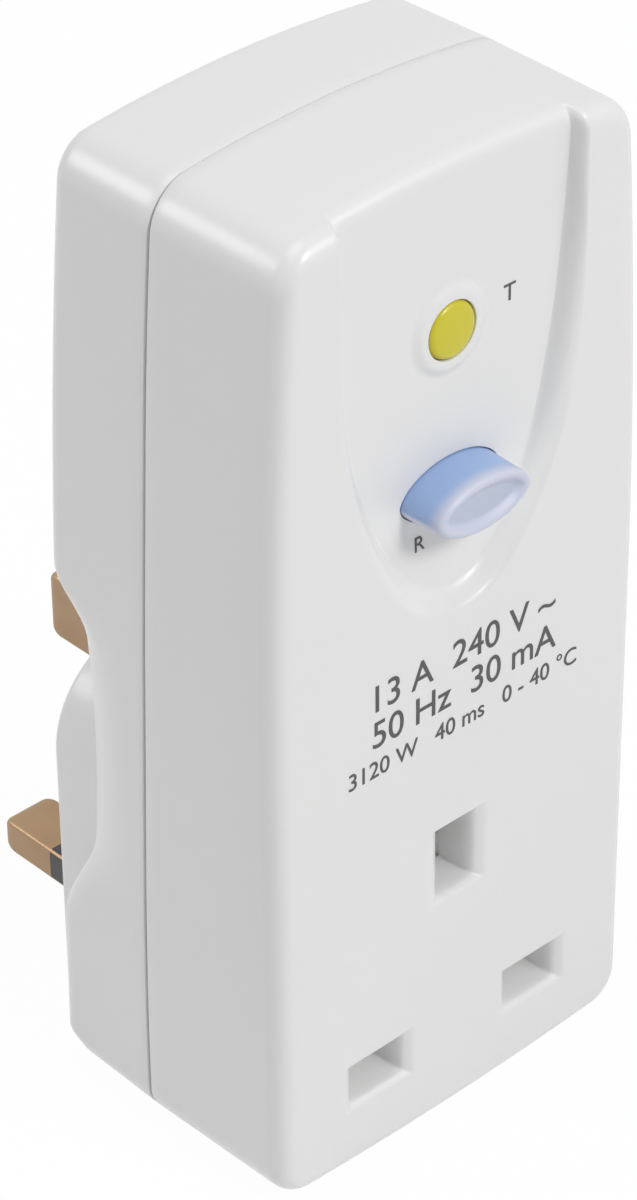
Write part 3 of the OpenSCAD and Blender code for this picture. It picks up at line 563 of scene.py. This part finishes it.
def front_cover(material):
    """Front cover: rounded case edge, recess, openings with shaped mouths and a hollow back."""
    shell = Shell()
    joint = joint_depth(case_ring(0, 0)[:, 2])
    lip_y = joint - LIP[0][0] * LIP_SHARE
    share, deep = np.zeros(len(CASE_POINTS)), RECESS_DEPTH - RECESS_RISE
    for _ in range(4):
        face_y = FRONT_Y + deep * share
        edge_r = FRONT_EDGE_R + (RECESS_EDGE_R - FRONT_EDGE_R) * share
        drawn_in = (lip_y - face_y - edge_r) * FRONT_SLOPE
        edge = case_ring(drawn_in + edge_r, 0)
        share, deep = recess_share(edge[:, 0], edge[:, 2]), recess_depth(edge[:, 2])
    rings = [case_ring(drawn_in + edge_r * (1 - math.sin(a)), face_y + edge_r * (1 - math.cos(a)))
             for a in quarter(10)]
    side_l = lip_y - face_y - edge_r
    for share_back in (0.3, 0.6, 0.9):
        rings.append(case_ring(drawn_in * (1 - share_back), face_y + edge_r + share_back * side_l))
    rings.extend(case_ring(inset, joint - back * LIP_SHARE) for back, inset in LIP)
    inner = case_ring(WALL, joint - LIP[-1][0] * LIP_SHARE)
    rings.append(inner)
    rings.append(case_ring(WALL, front_inner_depth(inner[:, 0], inner[:, 2])))
    face, back = shell.tube(rings)
    openings = front_openings()
    ends = [shell.tube(opening_rings(outline, mouth)) for outline, mouth in openings]
    near = [outline(2 * mouth[0][0] + more) for outline, mouth in openings for more in (0.8, 2.2)]
    collar = [circle(0, TEST_Z, d, 72) for d in np.arange(TEST_D + 1.2, TEST_COLLAR_D + 2.2, 0.24)]
    low, high = (-CASE_W / 2, BOTTOM_Z), (CASE_W / 2, TOP_Z)
    groups = [(0.06, recess_rows()), (0.15, np.concatenate(collar)), (0.25, np.concatenate(near)),
              (1.6, grid_points(low, high, 1.7))]
    shell.fill(face, [e[0] for e in ends], groups, front_depth)
    step_z = np.linspace(SOCKET_ROOM_TOP - 0.2, SOCKET_ROOM_TOP + 1.0, 7)
    step_x = np.arange(-24, 24, 1.0)
    step_rows = np.concatenate([np.stack([step_x, np.full(len(step_x), z)], 1) for z in step_z])
    groups = [(0.15, step_rows), (2.5, grid_points(low, high, 2.6))]
    shell.fill(back, [e[1] for e in ends], groups, front_inner_depth)
    return shell.piece("front_cover_moulding", material, "case", "case_white", ["front_cover"])


def scoop_inset(y, z, side):
    """How far a side wall is drawn in towards a finger grip."""
    low, high = GRIP_BOTTOM + GRIP_BOTTOM_RUN / 2, GRIP_TOP - GRIP_TOP_RUN / 4
    along = np.sin(np.pi * np.clip((z - low) / (high - low), 0, 1)) ** 0.8
    back = ease((y - (REAR_Y - GRIP_DEPTH - SCOOP_L)) / SCOOP_L)
    return SCOOP_DEPTH * along * back * side


def flat_back(x, z):
    """The plug base's flat face."""
    return np.zeros(np.shape(x))


def screw_wells(shell, place, mouth):
    """Counterbores for the screw heads at both sides; returns their mouths."""
    mouths = []
    for x, z in [(-place[0], place[1]), place]:
        rings = []
        for wider, deep in round_mouth(SCREW_MOUTH_R):
            loop = circle(x, z, SCREW_HOLE_D + 2 * wider, 40)
            rings.append(at_depth(loop, mouth(loop[:, 0], loop[:, 1]) - deep))
        rings.append(at_depth(circle(x, z, SCREW_HOLE_D, 40), SCREW_HEAD_Y))
        first, last = shell.tube(rings)
        shell.cap(last)
        mouths.append(first)
    return mouths


def rear_cover(material):
    """Rear cover: rounded rim with finger grips, stepped plug base, screw wells and a hollow inside."""
    shell = Shell()
    rim = case_ring(0, 0)
    side = ease((np.abs(CASE_NORMALS[:, 0]) - 0.5) * 2)
    face_y = back_depth(np.where(np.abs(rim[:, 0]) > CASE_W / 4, rim[:, 0], 0), rim[:, 2])
    joint = joint_depth(rim[:, 2])
    lip_y = joint + LIP[0][0] * LIP_SHARE
    grip = grip_share(rim[:, 2]) * side
    low_corner = ease(-2.4 * np.abs(CASE_NORMALS[:, 0]) * CASE_NORMALS[:, 1])
    edge_w = REAR_EDGE_R + (GRIP_EDGE_W - REAR_EDGE_R) * grip + LOW_CORNER_SOFT * low_corner
    edge_d = REAR_EDGE_R + (GRIP_EDGE_D - REAR_EDGE_R) * grip + LOW_CORNER_SOFT * low_corner
    end_y = face_y - edge_d
    rings = [case_ring(REAR_WALL, REAR_FLOOR_Y), case_ring(REAR_WALL, joint + LIP[-1][0] * LIP_SHARE)]
    rings.extend(case_ring(inset, joint + back * LIP_SHARE) for back, inset in LIP[::-1])
    for share in np.linspace(0.12, 1.0, 9):
        y = lip_y + share * (end_y - lip_y)
        rings.append(case_ring((y - lip_y) * REAR_SLOPE + scoop_inset(y, rim[:, 2], side), y))
    end_scoop = scoop_inset(end_y, rim[:, 2], side)
    end_inset = (end_y - lip_y) * REAR_SLOPE + end_scoop
    for a in quarter(12)[1:]:
        y = end_y + edge_d * math.sin(a)
        scoop = scoop_inset(y, rim[:, 2], side) - end_scoop
        rings.append(case_ring(end_inset + scoop + edge_w * (1 - math.cos(a)), y))
    floor, face = shell.tube(rings)
    outline = base_outline(0)
    base_rings = [at_depth(outline, back_depth(outline[:, 0], outline[:, 1])), at_depth(outline, BASE_SIDE_Y)]
    base_rings.extend(at_depth(base_outline(BASE_EDGE * (1 - math.cos(a))), -BASE_EDGE * (1 - math.sin(a)))
                      for a in quarter(7))
    foot, plug_face = shell.tube(base_rings)
    top_wells = screw_wells(shell, SCREW_TOP, back_depth)
    low_wells = screw_wells(shell, SCREW_LOW, flat_back)
    low, high = (-CASE_W / 2, BOTTOM_Z), (CASE_W / 2, TOP_Z)
    web_x = np.arange(WEB_HALF_W - 0.4, WEB_HALF_W + WEB_RUN + 0.5, 0.2)
    web_z = np.linspace(24, GRIP_TOP + 2, 60)
    web_rows = [np.stack([np.full(len(web_z), s * x), web_z], 1) for x in web_x for s in (-1, 1)]
    groups = [(0.15, np.concatenate(web_rows)), (0.9, grid_points(low, high, 1.0))]
    shell.fill(face, [foot, *top_wells], groups, back_depth)
    shell.fill(plug_face, low_wells, [(3.0, grid_points(low, high, 3.1))], flat_back)
    shell.fill(floor, [], [(0.9, grid_points(low, high, 1.0))], rear_inner_depth)
    return shell.piece("rear_cover_moulding", material, "case", "case_white", ["rear_cover"])


# Buttons and pins

def test_button(material):
    """Round cap with a softly rounded edge and a slightly crowned face, its flange and stem."""
    shell = Shell()
    cap_y, r = FLOOR_Y - TEST_PROUD, TEST_D / 2
    flange_r, flange_back = r + FLANGE_OUT, FLANGE_Y + FLANGE_T
    profile = [(TEST_STEM_R, TEST_HIGH[1]), (TEST_STEM_R, flange_back),
               (flange_r, flange_back), (flange_r, FLANGE_Y), (r, FLANGE_Y)]
    profile += [(r - TEST_SOFT * (1 - math.cos(a)), cap_y + TEST_SOFT * (1 - math.sin(a))) for a in quarter(9)]
    profile += [(r * s, cap_y - TEST_CROWN * (1 - s * s)) for s in (0.6, 0.35, 0.12)]
    shell.bar([at_depth(circle(0, TEST_Z, 2 * rad, 72), y) for rad, y in profile])
    return shell.piece("test_button_cap", material, "test", "test_yellow", ["test_button"])


def reset_button(material):
    """Eye-shaped cap with straight sides, a rounded rim and a dished front, its flange and stem."""
    shell = Shell()
    flange_back, flange_w, flange_h = FLANGE_Y + FLANGE_T, RESET_W + 2 * FLANGE_OUT, RESET_H + 2 * FLANGE_OUT
    w, h = RESET_W - 2 * RESET_TAPER, RESET_H - 2 * RESET_TAPER
    floor_w, floor_h, floor_y = w - 3.4, h - 2.9, RESET_CAP_Y + RESET_DISH + 0.05
    rings = [at_depth(circle(0, RESET_Z, RESET_STEM_D, EYE_POINTS), y) for y in (RESET_HIGH[1], flange_back)]
    rings += [at_depth(eye(flange_w, flange_h), y) for y in (flange_back, FLANGE_Y)]
    rings += [at_depth(eye(RESET_W, RESET_H), y) for y in (FLANGE_Y, FLOOR_Y)]
    for a in quarter(7):
        drop = 2 * RESET_RIM_R * (1 - math.cos(a))
        rings.append(at_depth(eye(w - drop, h - drop), RESET_CAP_Y + RESET_RIM_R * (1 - math.sin(a))))
    for share in np.linspace(0.15, 1.0, 7):
        drop = 2 * RESET_RIM_R + 2 * RESET_RIM_W * share
        rings.append(at_depth(eye(w - drop * 1.15, h - drop), RESET_CAP_Y + RESET_DISH * ease(share)))
    rings += [at_depth(eye(floor_w * s, floor_h * s), floor_y) for s in (0.6, 0.2)]
    shell.bar(rings)
    return shell.piece("reset_button_cap", material, "reset", "reset_blue", ["reset_button"])


def earth_guide(material):
    """Cheeks and roof behind the earth opening, which lead a pin past the shutter."""
    shell = Shell()
    gap, wall, start, end = 0.05, 1.1, 0.02, 2.7
    inner, outer = EARTH_SLOT[0] / 2 + gap, EARTH_SLOT[0] / 2 + wall
    low, top = PITCH + SOCKET_Z - EARTH_SLOT[1] / 2, PITCH + SOCKET_Z + EARTH_SLOT[1] / 2 + gap
    outline = np.array([(inner, low), (outer, low), (outer, top + wall), (-outer, top + wall),
                        (-outer, low), (-inner, low), (-inner, top), (inner, top)])
    shell.bar([at_depth(outline, SOCKET_BACK_Y + back) for back in (start, end)])
    return shell.piece("earth_pin_guide", material, "case", "case_white")


def cross_outline(x, z, length, width):
    """Outline of a cross recess."""
    a, b = width / 2, length / 2
    arm = np.array([(b, -a), (b, a), (a, a)])
    turns = [np.array([[math.cos(t), -math.sin(t)], [math.sin(t), math.cos(t)]])
             for t in np.radians([0, 90, 180, 270])]
    return np.concatenate([arm @ turn.T for turn in turns]) + (x, z)


def cover_screws(material):
    """Four pan-head screws with a cross recess."""
    shell = Shell()
    low, high = box_mm("cover_screws")
    head_r, head_y, shank_r = 2.5, high[1], 1.4
    crown, edge_w, edge_d, cross_d = 0.3, 0.5, 0.6, 1.1
    for x, z in [(s * px, pz) for px, pz in (SCREW_TOP, SCREW_LOW) for s in (-1, 1)]:
        def dome(u, v):
            return head_y - crown * ((u - x) ** 2 + (v - z) ** 2) / head_r ** 2

        sides = [(shank_r, low[1]), (shank_r, SCREW_HEAD_Y), (head_r, SCREW_HEAD_Y)]
        sides += [(head_r - edge_w * (1 - math.cos(a)), head_y - crown - edge_d * (1 - math.sin(a)))
                  for a in quarter(6)]
        end, rim = shell.tube([at_depth(circle(x, z, 2 * r, 48), y) for r, y in sides])
        shell.cap(end)
        cross = cross_outline(x, z, 2.9, 0.75)
        mouth, floor = shell.tube([at_depth(cross, dome(cross[:, 0], cross[:, 1])),
                                   at_depth(cross_outline(x, z, 2.0, 0.6), head_y - cross_d)])
        shell.cap(floor)
        shell.fill(rim, [mouth], [(0.3, grid_points((x - 3, z - 3), (x + 3, z + 3), 0.35))], dome)
    return shell.piece("cover_screw_set", material, "case", "spring_steel", ["cover_screws"])


def pin(name, node, x, z, w, h, length, material):
    """Solid pin with softened long edges, a tapered tip and a head inside the case."""
    shell = Shell()
    edge_r, tip, tip_run, straight_end = 0.3, 0.9, 0.6, 1.2
    head_end, head_out = PIN_HEAD_Y + 1, 2.2
    rings = [at_depth(rounded_rectangle(x, z, w + head_out, h + head_out, edge_r), y) for y in (PIN_HEAD_Y, head_end)]
    rings += [at_depth(rounded_rectangle(x, z, w, h, edge_r), y) for y in (head_end, length - tip - straight_end)]
    for t in np.linspace(0, 1, 8):
        drawn = 1.2 * tip * (1 - math.sqrt(1 - (0.96 * t) ** 2))
        outline = rounded_rectangle(x, z, w - drawn, h - drawn, edge_r + 0.3 * t)
        rings.append(at_depth(outline, length - tip - tip_run + (tip + tip_run) * t))
    shell.bar(rings)
    return shell.piece(name, material, "case", "pin_brass", [node])


def sleeve(name, node, x, material):
    """Black collar round the root of a live pin."""
    shell = Shell()
    proud = 0.04
    outer = [(LIVE_PIN_W + 2 * proud, PIN_T + 2 * proud, y) for y in (-0.5, SLEEVE_L - 0.15)]
    rings = [at_depth(rounded_rectangle(x, 0, w, h, 0.5), y) for w, h, y in outer]
    rings.append(at_depth(rounded_rectangle(x, 0, LIVE_PIN_W - 0.1, PIN_T - 0.1, 0.45), SLEEVE_L))
    shell.bar(rings)
    return shell.piece(name, material, "case", "sleeve_black", [node])


def coil_spring(name, node, along, fixed_end, joint, travel, wire, turns, material):
    """Coil of round wire with closed ends, filling the CAD node's box."""
    low, high = np.array(box_mm(node))
    middle = (low + high) / 2
    first_way, second_way = [i for i in range(3) if i != along]
    length, r = high[along] - low[along], (high[first_way] - low[first_way] - wire) / 2
    turn = np.linspace(0, turns, turns * 28 + 1)
    end_turn, top = 1.1 * wire, length - wire
    rise = wire / 2 + np.interp(turn, [0, 1, turns - 1, turns], [0, end_turn, top - end_turn, top])
    a = np.radians(np.arange(0, 360, 45))
    rings = []
    for share, height in zip(turn, rise):
        ring, out = np.empty((len(a), 3)), r + wire / 2 * np.cos(a)
        ring[:, first_way] = middle[first_way] + out * math.cos(2 * math.pi * share)
        ring[:, second_way] = middle[second_way] + out * math.sin(2 * math.pi * share)
        ring[:, along] = low[along] + height + wire / 2 * np.sin(a)
        rings.append(ring)
    shell = Shell()
    shell.bar(rings)
    piece = shell.piece(name, material, "case", "spring_steel", [node])
    anchor = middle.copy()
    anchor[along] = (low, high)[fixed_end][along]
    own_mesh(piece)


# Finishes

def nodes_of(name):
    """New material with its node tree and main shader."""
    material = bpy.data.materials.new(name)
    material.use_nodes = True
    tree = material.node_tree
    return material, tree, tree.nodes["Principled BSDF"]


def noise(tree, scale, detail=3.0, stretch=(1, 1, 1)):
    """Noise over the object's own coordinates, in waves per metre."""
    coordinates = tree.nodes.new("ShaderNodeTexCoord")
    mapping = tree.nodes.new("ShaderNodeMapping")
    mapping.inputs["Scale"].default_value = stretch
    texture = tree.nodes.new("ShaderNodeTexNoise")
    texture.inputs["Scale"].default_value = scale
    texture.inputs["Detail"].default_value = detail
    tree.links.new(coordinates.outputs["Object"], mapping.inputs["Vector"])
    tree.links.new(mapping.outputs["Vector"], texture.inputs["Vector"])
    return texture.outputs["Fac"]


def spread(tree, value, low, high):
    """Noise turned into a value from low to high."""
    node = tree.nodes.new("ShaderNodeMapRange")
    node.inputs["From Min"].default_value = 0.1
    node.inputs["From Max"].default_value = 0.9
    node.inputs["To Min"].default_value = low
    node.inputs["To Max"].default_value = high
    tree.links.new(value, node.inputs["Value"])
    return node.outputs["Result"]


def mixed(tree, factor, first, second):
    """Colour between a first one, set or from a node, and a set second one, by a factor."""
    node = tree.nodes.new("ShaderNodeMix")
    node.data_type = "RGBA"
    if isinstance(first, tuple):
        node.inputs["A"].default_value = (*first, 1)
    else:
        tree.links.new(first, node.inputs["A"])
    node.inputs["B"].default_value = (*second, 1)
    tree.links.new(factor, node.inputs["Factor"])
    return node.outputs["Result"]


def combined(tree, operation, first, second):
    """Two values, the second one set or from a node, put together by a plain operation."""
    node = tree.nodes.new("ShaderNodeMath")
    node.operation = operation
    tree.links.new(first, node.inputs[0])
    if isinstance(second, float):
        node.inputs[1].default_value = second
    else:
        tree.links.new(second, node.inputs[1])
    return node.outputs["Value"]


def grain(tree, shader, value, strength, distance):
    """Fine relief of a surface."""
    bump = tree.nodes.new("ShaderNodeBump")
    bump.inputs["Strength"].default_value = strength
    bump.inputs["Distance"].default_value = distance
    tree.links.new(value, bump.inputs["Height"])
    tree.links.new(bump.outputs["Normal"], shader.inputs["Normal"])


def plastic(name, colour, roughness, vary=0.03):
    """Moulded plastic: faint changes of tone, uneven gloss and a fine moulded grain."""
    material, tree, shader = nodes_of(name)
    darker = tuple(c * (1 - vary) for c in colour)
    tone = mixed(tree, spread(tree, noise(tree, 45, 1), 0, 1), colour, darker)
    tree.links.new(tone, shader.inputs["Base Color"])
    gloss = spread(tree, noise(tree, 120, 1), roughness - 0.03, roughness + 0.03)
    tree.links.new(gloss, shader.inputs["Roughness"])
    grain(tree, shader, noise(tree, 1500, 4), 0.25, 0.00001)
    shader.inputs["Specular IOR Level"].default_value = 0.5
    return material


def metal(name, colour, dull, roughness, stretch=(1, 1, 1)):
    """Worked metal: duller patches, drawn or stamped scratches and uneven gloss."""
    material, tree, shader = nodes_of(name)
    shader.inputs["Metallic"].default_value = 1.0
    tone = mixed(tree, spread(tree, noise(tree, 160), 0, 1), colour, dull)
    tree.links.new(tone, shader.inputs["Base Color"])
    scratches = noise(tree, 700, 5, stretch)
    tree.links.new(spread(tree, scratches, roughness - 0.08, roughness + 0.1), shader.inputs["Roughness"])
    grain(tree, shader, scratches, 0.3, 0.00002)
    return material


PALE_BLUE, CLEAR_BLUE = (0.62, 0.65, 0.77), (0.335, 0.47, 0.745)
# The first blue on this line is a painted highlight, laid on faces turned downwards.
UNDERSIDE_HIGHLIGHT_BLUE, DISH_BLUE = (0.6, 0.63, 0.76), (0.52, 0.575, 0.69)


def eased_range(tree, value, start, end):
    """Soft step from 0 to 1 between two values."""
    node = tree.nodes.new("ShaderNodeMapRange")
    node.interpolation_type = "SMOOTHSTEP"
    node.inputs["From Min"].default_value = start
    node.inputs["From Max"].default_value = end
    tree.links.new(value, node.inputs["Value"])
    return node.outputs["Result"]


def frosted_blue():
    """Translucent blue plastic: frosted and pale at the front rim, a light dish, blue sides and a painted highlight
    underneath.
    """
    material, tree, shader = nodes_of("reset_frosted_blue")
    coordinates = tree.nodes.new("ShaderNodeTexCoord")
    place = tree.nodes.new("ShaderNodeSeparateXYZ")
    tree.links.new(coordinates.outputs["Object"], place.inputs["Vector"])
    facing = tree.nodes.new("ShaderNodeSeparateXYZ")
    tree.links.new(coordinates.outputs["Normal"], facing.inputs["Vector"])
    back = eased_range(tree, place.outputs["Y"], (RESET_CAP_Y + 0.2) * MM, (RESET_CAP_Y + 2.0) * MM)
    tone = mixed(tree, back, PALE_BLUE, CLEAR_BLUE)
    # Painted highlight: faces turned downwards get a paler blue.
    underside_highlight = eased_range(tree, facing.outputs["Z"], 0.2, -0.5)
    tone = mixed(tree, underside_highlight, tone, UNDERSIDE_HIGHLIGHT_BLUE)
    dished = eased_range(tree, facing.outputs["Y"], -0.75, -0.98)
    behind_rim = eased_range(tree, place.outputs["Y"], (RESET_CAP_Y + 0.1) * MM, (RESET_CAP_Y + 0.5) * MM)
    tone = mixed(tree, combined(tree, "MULTIPLY", dished, behind_rim), tone, DISH_BLUE)
    tree.links.new(tone, shader.inputs["Base Color"])
    tree.links.new(spread(tree, noise(tree, 400, 1), 0.34, 0.46), shader.inputs["Roughness"])
    grain(tree, shader, noise(tree, 2200, 2), 0.15, 0.00001)
    shader.inputs["Subsurface Weight"].default_value = 0.5
    shader.inputs["Subsurface Radius"].default_value = (0.0016, 0.002, 0.003)
    return material


def finishes():
    """Materials by the record's slot names."""
    return {
        "case_white": plastic("case_white_plastic", (0.795, 0.793, 0.792), 0.3, 0.015),
        "pin_brass": metal("pin_dull_brass", (0.43, 0.29, 0.175), (0.33, 0.22, 0.13), 0.4, (1, 0.08, 1)),
        "sleeve_black": plastic("sleeve_black_plastic", (0.022, 0.022, 0.024), 0.45, 0.2),
        "insulator": plastic("insulator_plastic", (0.72, 0.69, 0.6), 0.5),
        "contact_brass": metal("contact_brass_strip", (0.68, 0.52, 0.27), (0.5, 0.37, 0.18), 0.3, (1, 1, 0.1)),
        "shutter_white": plastic("shutter_white_plastic", (0.72, 0.72, 0.71), 0.42),
        "spring_steel": metal("spring_steel_wire", (0.55, 0.55, 0.57), (0.4, 0.4, 0.42), 0.28),
        "core_grey": plastic("core_grey_coating", (0.1, 0.105, 0.12), 0.5, 0.2),
        "copper_wire": metal("copper_enamel_wire", (0.6, 0.28, 0.12), (0.42, 0.17, 0.07), 0.33, (1, 1, 6)),
        "board_green": plastic("board_green_mask", (0.02, 0.12, 0.06), 0.35, 0.3),
        "test_yellow": plastic("test_yellow_plastic", (0.63, 0.56, 0.02), 0.28, 0.05),
        "capacitor_blue": plastic("capacitor_blue_film", (0.02, 0.03, 0.14), 0.25, 0.2),
        "chip_black": plastic("chip_black_resin", (0.012, 0.012, 0.013), 0.55, 0.2),
        "reset_blue": frosted_blue(),
        "carriage_grey": plastic("carriage_grey_plastic", (0.04, 0.043, 0.05), 0.5, 0.2),
    }


def legends(material):
    """Generic marks: one letter by each button and plain ratings below the recess."""
    proud, thickness, size_of_capitals = 0.02, 0.04, 1.36
    front, low = FRONT_Y - proud, RESET_Z - 5.6
    marks = [("mark_test", "T", 8.0, TEST_Z - 0.2, 2.0, front + recess_depth(TEST_Z + 0.8)),
             ("mark_reset", "R", -4.2, low, 1.8, front + recess_depth(low + 0.9)),
             ("rating_supply", "13 A  240 V ~", 0.3, 45.0, 3.3, front),
             ("rating_trip", "50 Hz  30 mA", 0.5, 40.7, 3.3, front),
             ("rating_time", "3120 W   40 ms   0 - 40 °C", 0.5, 37.2, 2.1, front)]
    for name, words, x, z, size, y in marks:
        curve = bpy.data.curves.new(name, "FONT")
        curve.body = words
        curve.align_x = "CENTER"
        curve.size = size * MM * size_of_capitals
        curve.extrude = thickness * MM
        curve.materials.append(material)
        piece = bpy.data.objects.new(name, curve)
        piece.matrix_world = Matrix.Translation((x * MM, y * MM, z * MM)) @ Matrix.Rotation(math.pi / 2, 4, "X")
        bpy.context.scene.collection.objects.link(piece)
        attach(piece, "case")


def dress_nodes(materials):
    """Finishes of the CAD nodes, by the record's slots."""
    for part in frame["record"]["subparts"]:
        node = frame["nodes"][part["node"]]
        node.data.materials.clear()
        node.data.materials.append(materials[part["material_slot"]])


# Stage

# Lamps: place in metres, size and power
LAMPS = {
    "key": ((0.14, -1.35, 1.19), 0.5, 10.4),
    "key_soft": ((0.6, -1.26, 1.24), 1.0, 7.6),
    "top": ((-0.26, 0.18, 1.67), 1.2, 8.9),
    "left_back": ((-0.96, 1.04, 0.77), 0.6, 5.5),
}
LAMP_AIM = (0, -0.02, 0.045)
WORLD_STRENGTH, WORLD_WHITE, FLOOR_WHITE = 0.2, 1.0, 0.97
FLOOR_HALF, FLOOR_GAP = 4.0, 0.05


def add_camera():
    """Camera fitted to the photograph: 637 by 1200, the long side across the sensor."""
    yaw, pitch, roll = (math.radians(a) for a in (42.775, 34.869, -0.628))
    target, distance = Vector((-3.387, -21.8, 45.768)) * MM, 429.4 * MM
    forward = Vector((math.sin(yaw) * math.cos(pitch), math.cos(yaw) * math.cos(pitch), -math.sin(pitch)))
    level = Vector((math.cos(yaw), -math.sin(yaw), 0))
    up = level.cross(forward)
    right = level * math.cos(roll) + up * math.sin(roll)
    up = up * math.cos(roll) - level * math.sin(roll)
    lens = bpy.data.cameras.new("camera")
    lens.sensor_width = 36
    lens.lens = 129
    lens.clip_start, lens.clip_end = 0.01, 20
    camera = bpy.data.objects.new("camera", lens)
    turn = Matrix((right, up, -forward)).transposed().to_4x4()
    camera.matrix_world = Matrix.Translation(target - forward * distance) @ turn
    bpy.context.scene.collection.objects.link(camera)
    bpy.context.scene.camera = camera


def add_lamp(name, place, size, power):
    """Round area lamp that faces the object."""
    light = bpy.data.lights.new(name, "AREA")
    light.shape = "DISK"
    light.size = size
    light.energy = power
    lamp = bpy.data.objects.new(name, light)
    direction = Vector(LAMP_AIM) - Vector(place)
    lamp.matrix_world = Matrix.Translation(place) @ direction.to_track_quat("-Z", "Y").to_matrix().to_4x4()
    bpy.context.scene.collection.objects.link(lamp)


def add_white(tree, lit, white, share, output):
    """Mixes plain white into a surface or world, for what the camera, mirrors and glass see of it."""
    path = tree.nodes.new("ShaderNodeLightPath")
    seen = combined(tree, "MAXIMUM", path.outputs["Is Camera Ray"], path.outputs["Is Glossy Ray"])
    seen = combined(tree, "MAXIMUM", seen, path.outputs["Is Transmission Ray"])
    mix = tree.nodes.new("ShaderNodeMixShader")
    tree.links.new(combined(tree, "MULTIPLY", seen, share), mix.inputs["Fac"])
    tree.links.new(lit, mix.inputs[1])
    tree.links.new(white, mix.inputs[2])
    tree.links.new(mix.outputs["Shader"], tree.nodes[output].inputs["Surface"])


def add_stage():
    """View, lamps, a soft even world and the floor."""
    scene = bpy.context.scene
    scene.view_settings.view_transform = "Standard"
    for name, (place, size, power) in LAMPS.items():
        add_lamp(name, place, size, power)
    world = bpy.data.worlds.new("studio")
    scene.world = world
    world.use_nodes = True
    tree = world.node_tree
    soft = tree.nodes["Background"]
    soft.inputs["Color"].default_value = (1, 1, 1, 1)
    soft.inputs["Strength"].default_value = WORLD_STRENGTH
    white = tree.nodes.new("ShaderNodeBackground")
    white.inputs["Color"].default_value = (1, 1, 1, 1)
    add_white(tree, soft.outputs["Background"], white.outputs["Background"], WORLD_WHITE, "World Output")
    add_floor()


def add_floor():
    """Pale floor that keeps the object's shadow."""
    material, tree, shader = nodes_of("floor_white")
    shader.inputs["Base Color"].default_value = (0.9, 0.9, 0.9, 1)
    shader.inputs["Roughness"].default_value = 0.9
    white = tree.nodes.new("ShaderNodeEmission")
    add_white(tree, shader.outputs["BSDF"], white.outputs["Emission"], FLOOR_WHITE, "Material Output")
    half, z = FLOOR_HALF, (BOTTOM_Z - FLOOR_GAP) * MM
    mesh = bpy.data.meshes.new("floor")
    mesh.from_pydata([(-half, -half, z), (half, -half, z), (half, half, z), (-half, half, z)], [], [(0, 1, 2, 3)])
    mesh.materials.append(material)
    floor = bpy.data.objects.new("floor", mesh)
    bpy.context.scene.collection.objects.link(floor)


materials = finishes()
dress_nodes(materials)
front_cover(materials["case_white"])
rear_cover(materials["case_white"])
test_button(materials["test_yellow"])
reset_button(materials["reset_blue"])
earth_guide(materials["case_white"])
cover_screws(materials["spring_steel"])
for name, x, z, w, h, length in PINS:
    pin(f"{name}_pin_blade", f"{name}_pin", x, z, w, h, length, materials["pin_brass"])
for name, x in SLEEVES:
    sleeve(f"{name}_sleeve", f"{name}_pin_sleeve", x, materials["sleeve_black"])
for name, *coil in COILS:
    coil_spring(f"{name}_coil", f"{name}_spring", *coil, materials["spring_steel"])
legends(plastic("legend_grey_ink", (0.085, 0.085, 0.085), 0.5, 0.1))
add_stage()
add_camera()
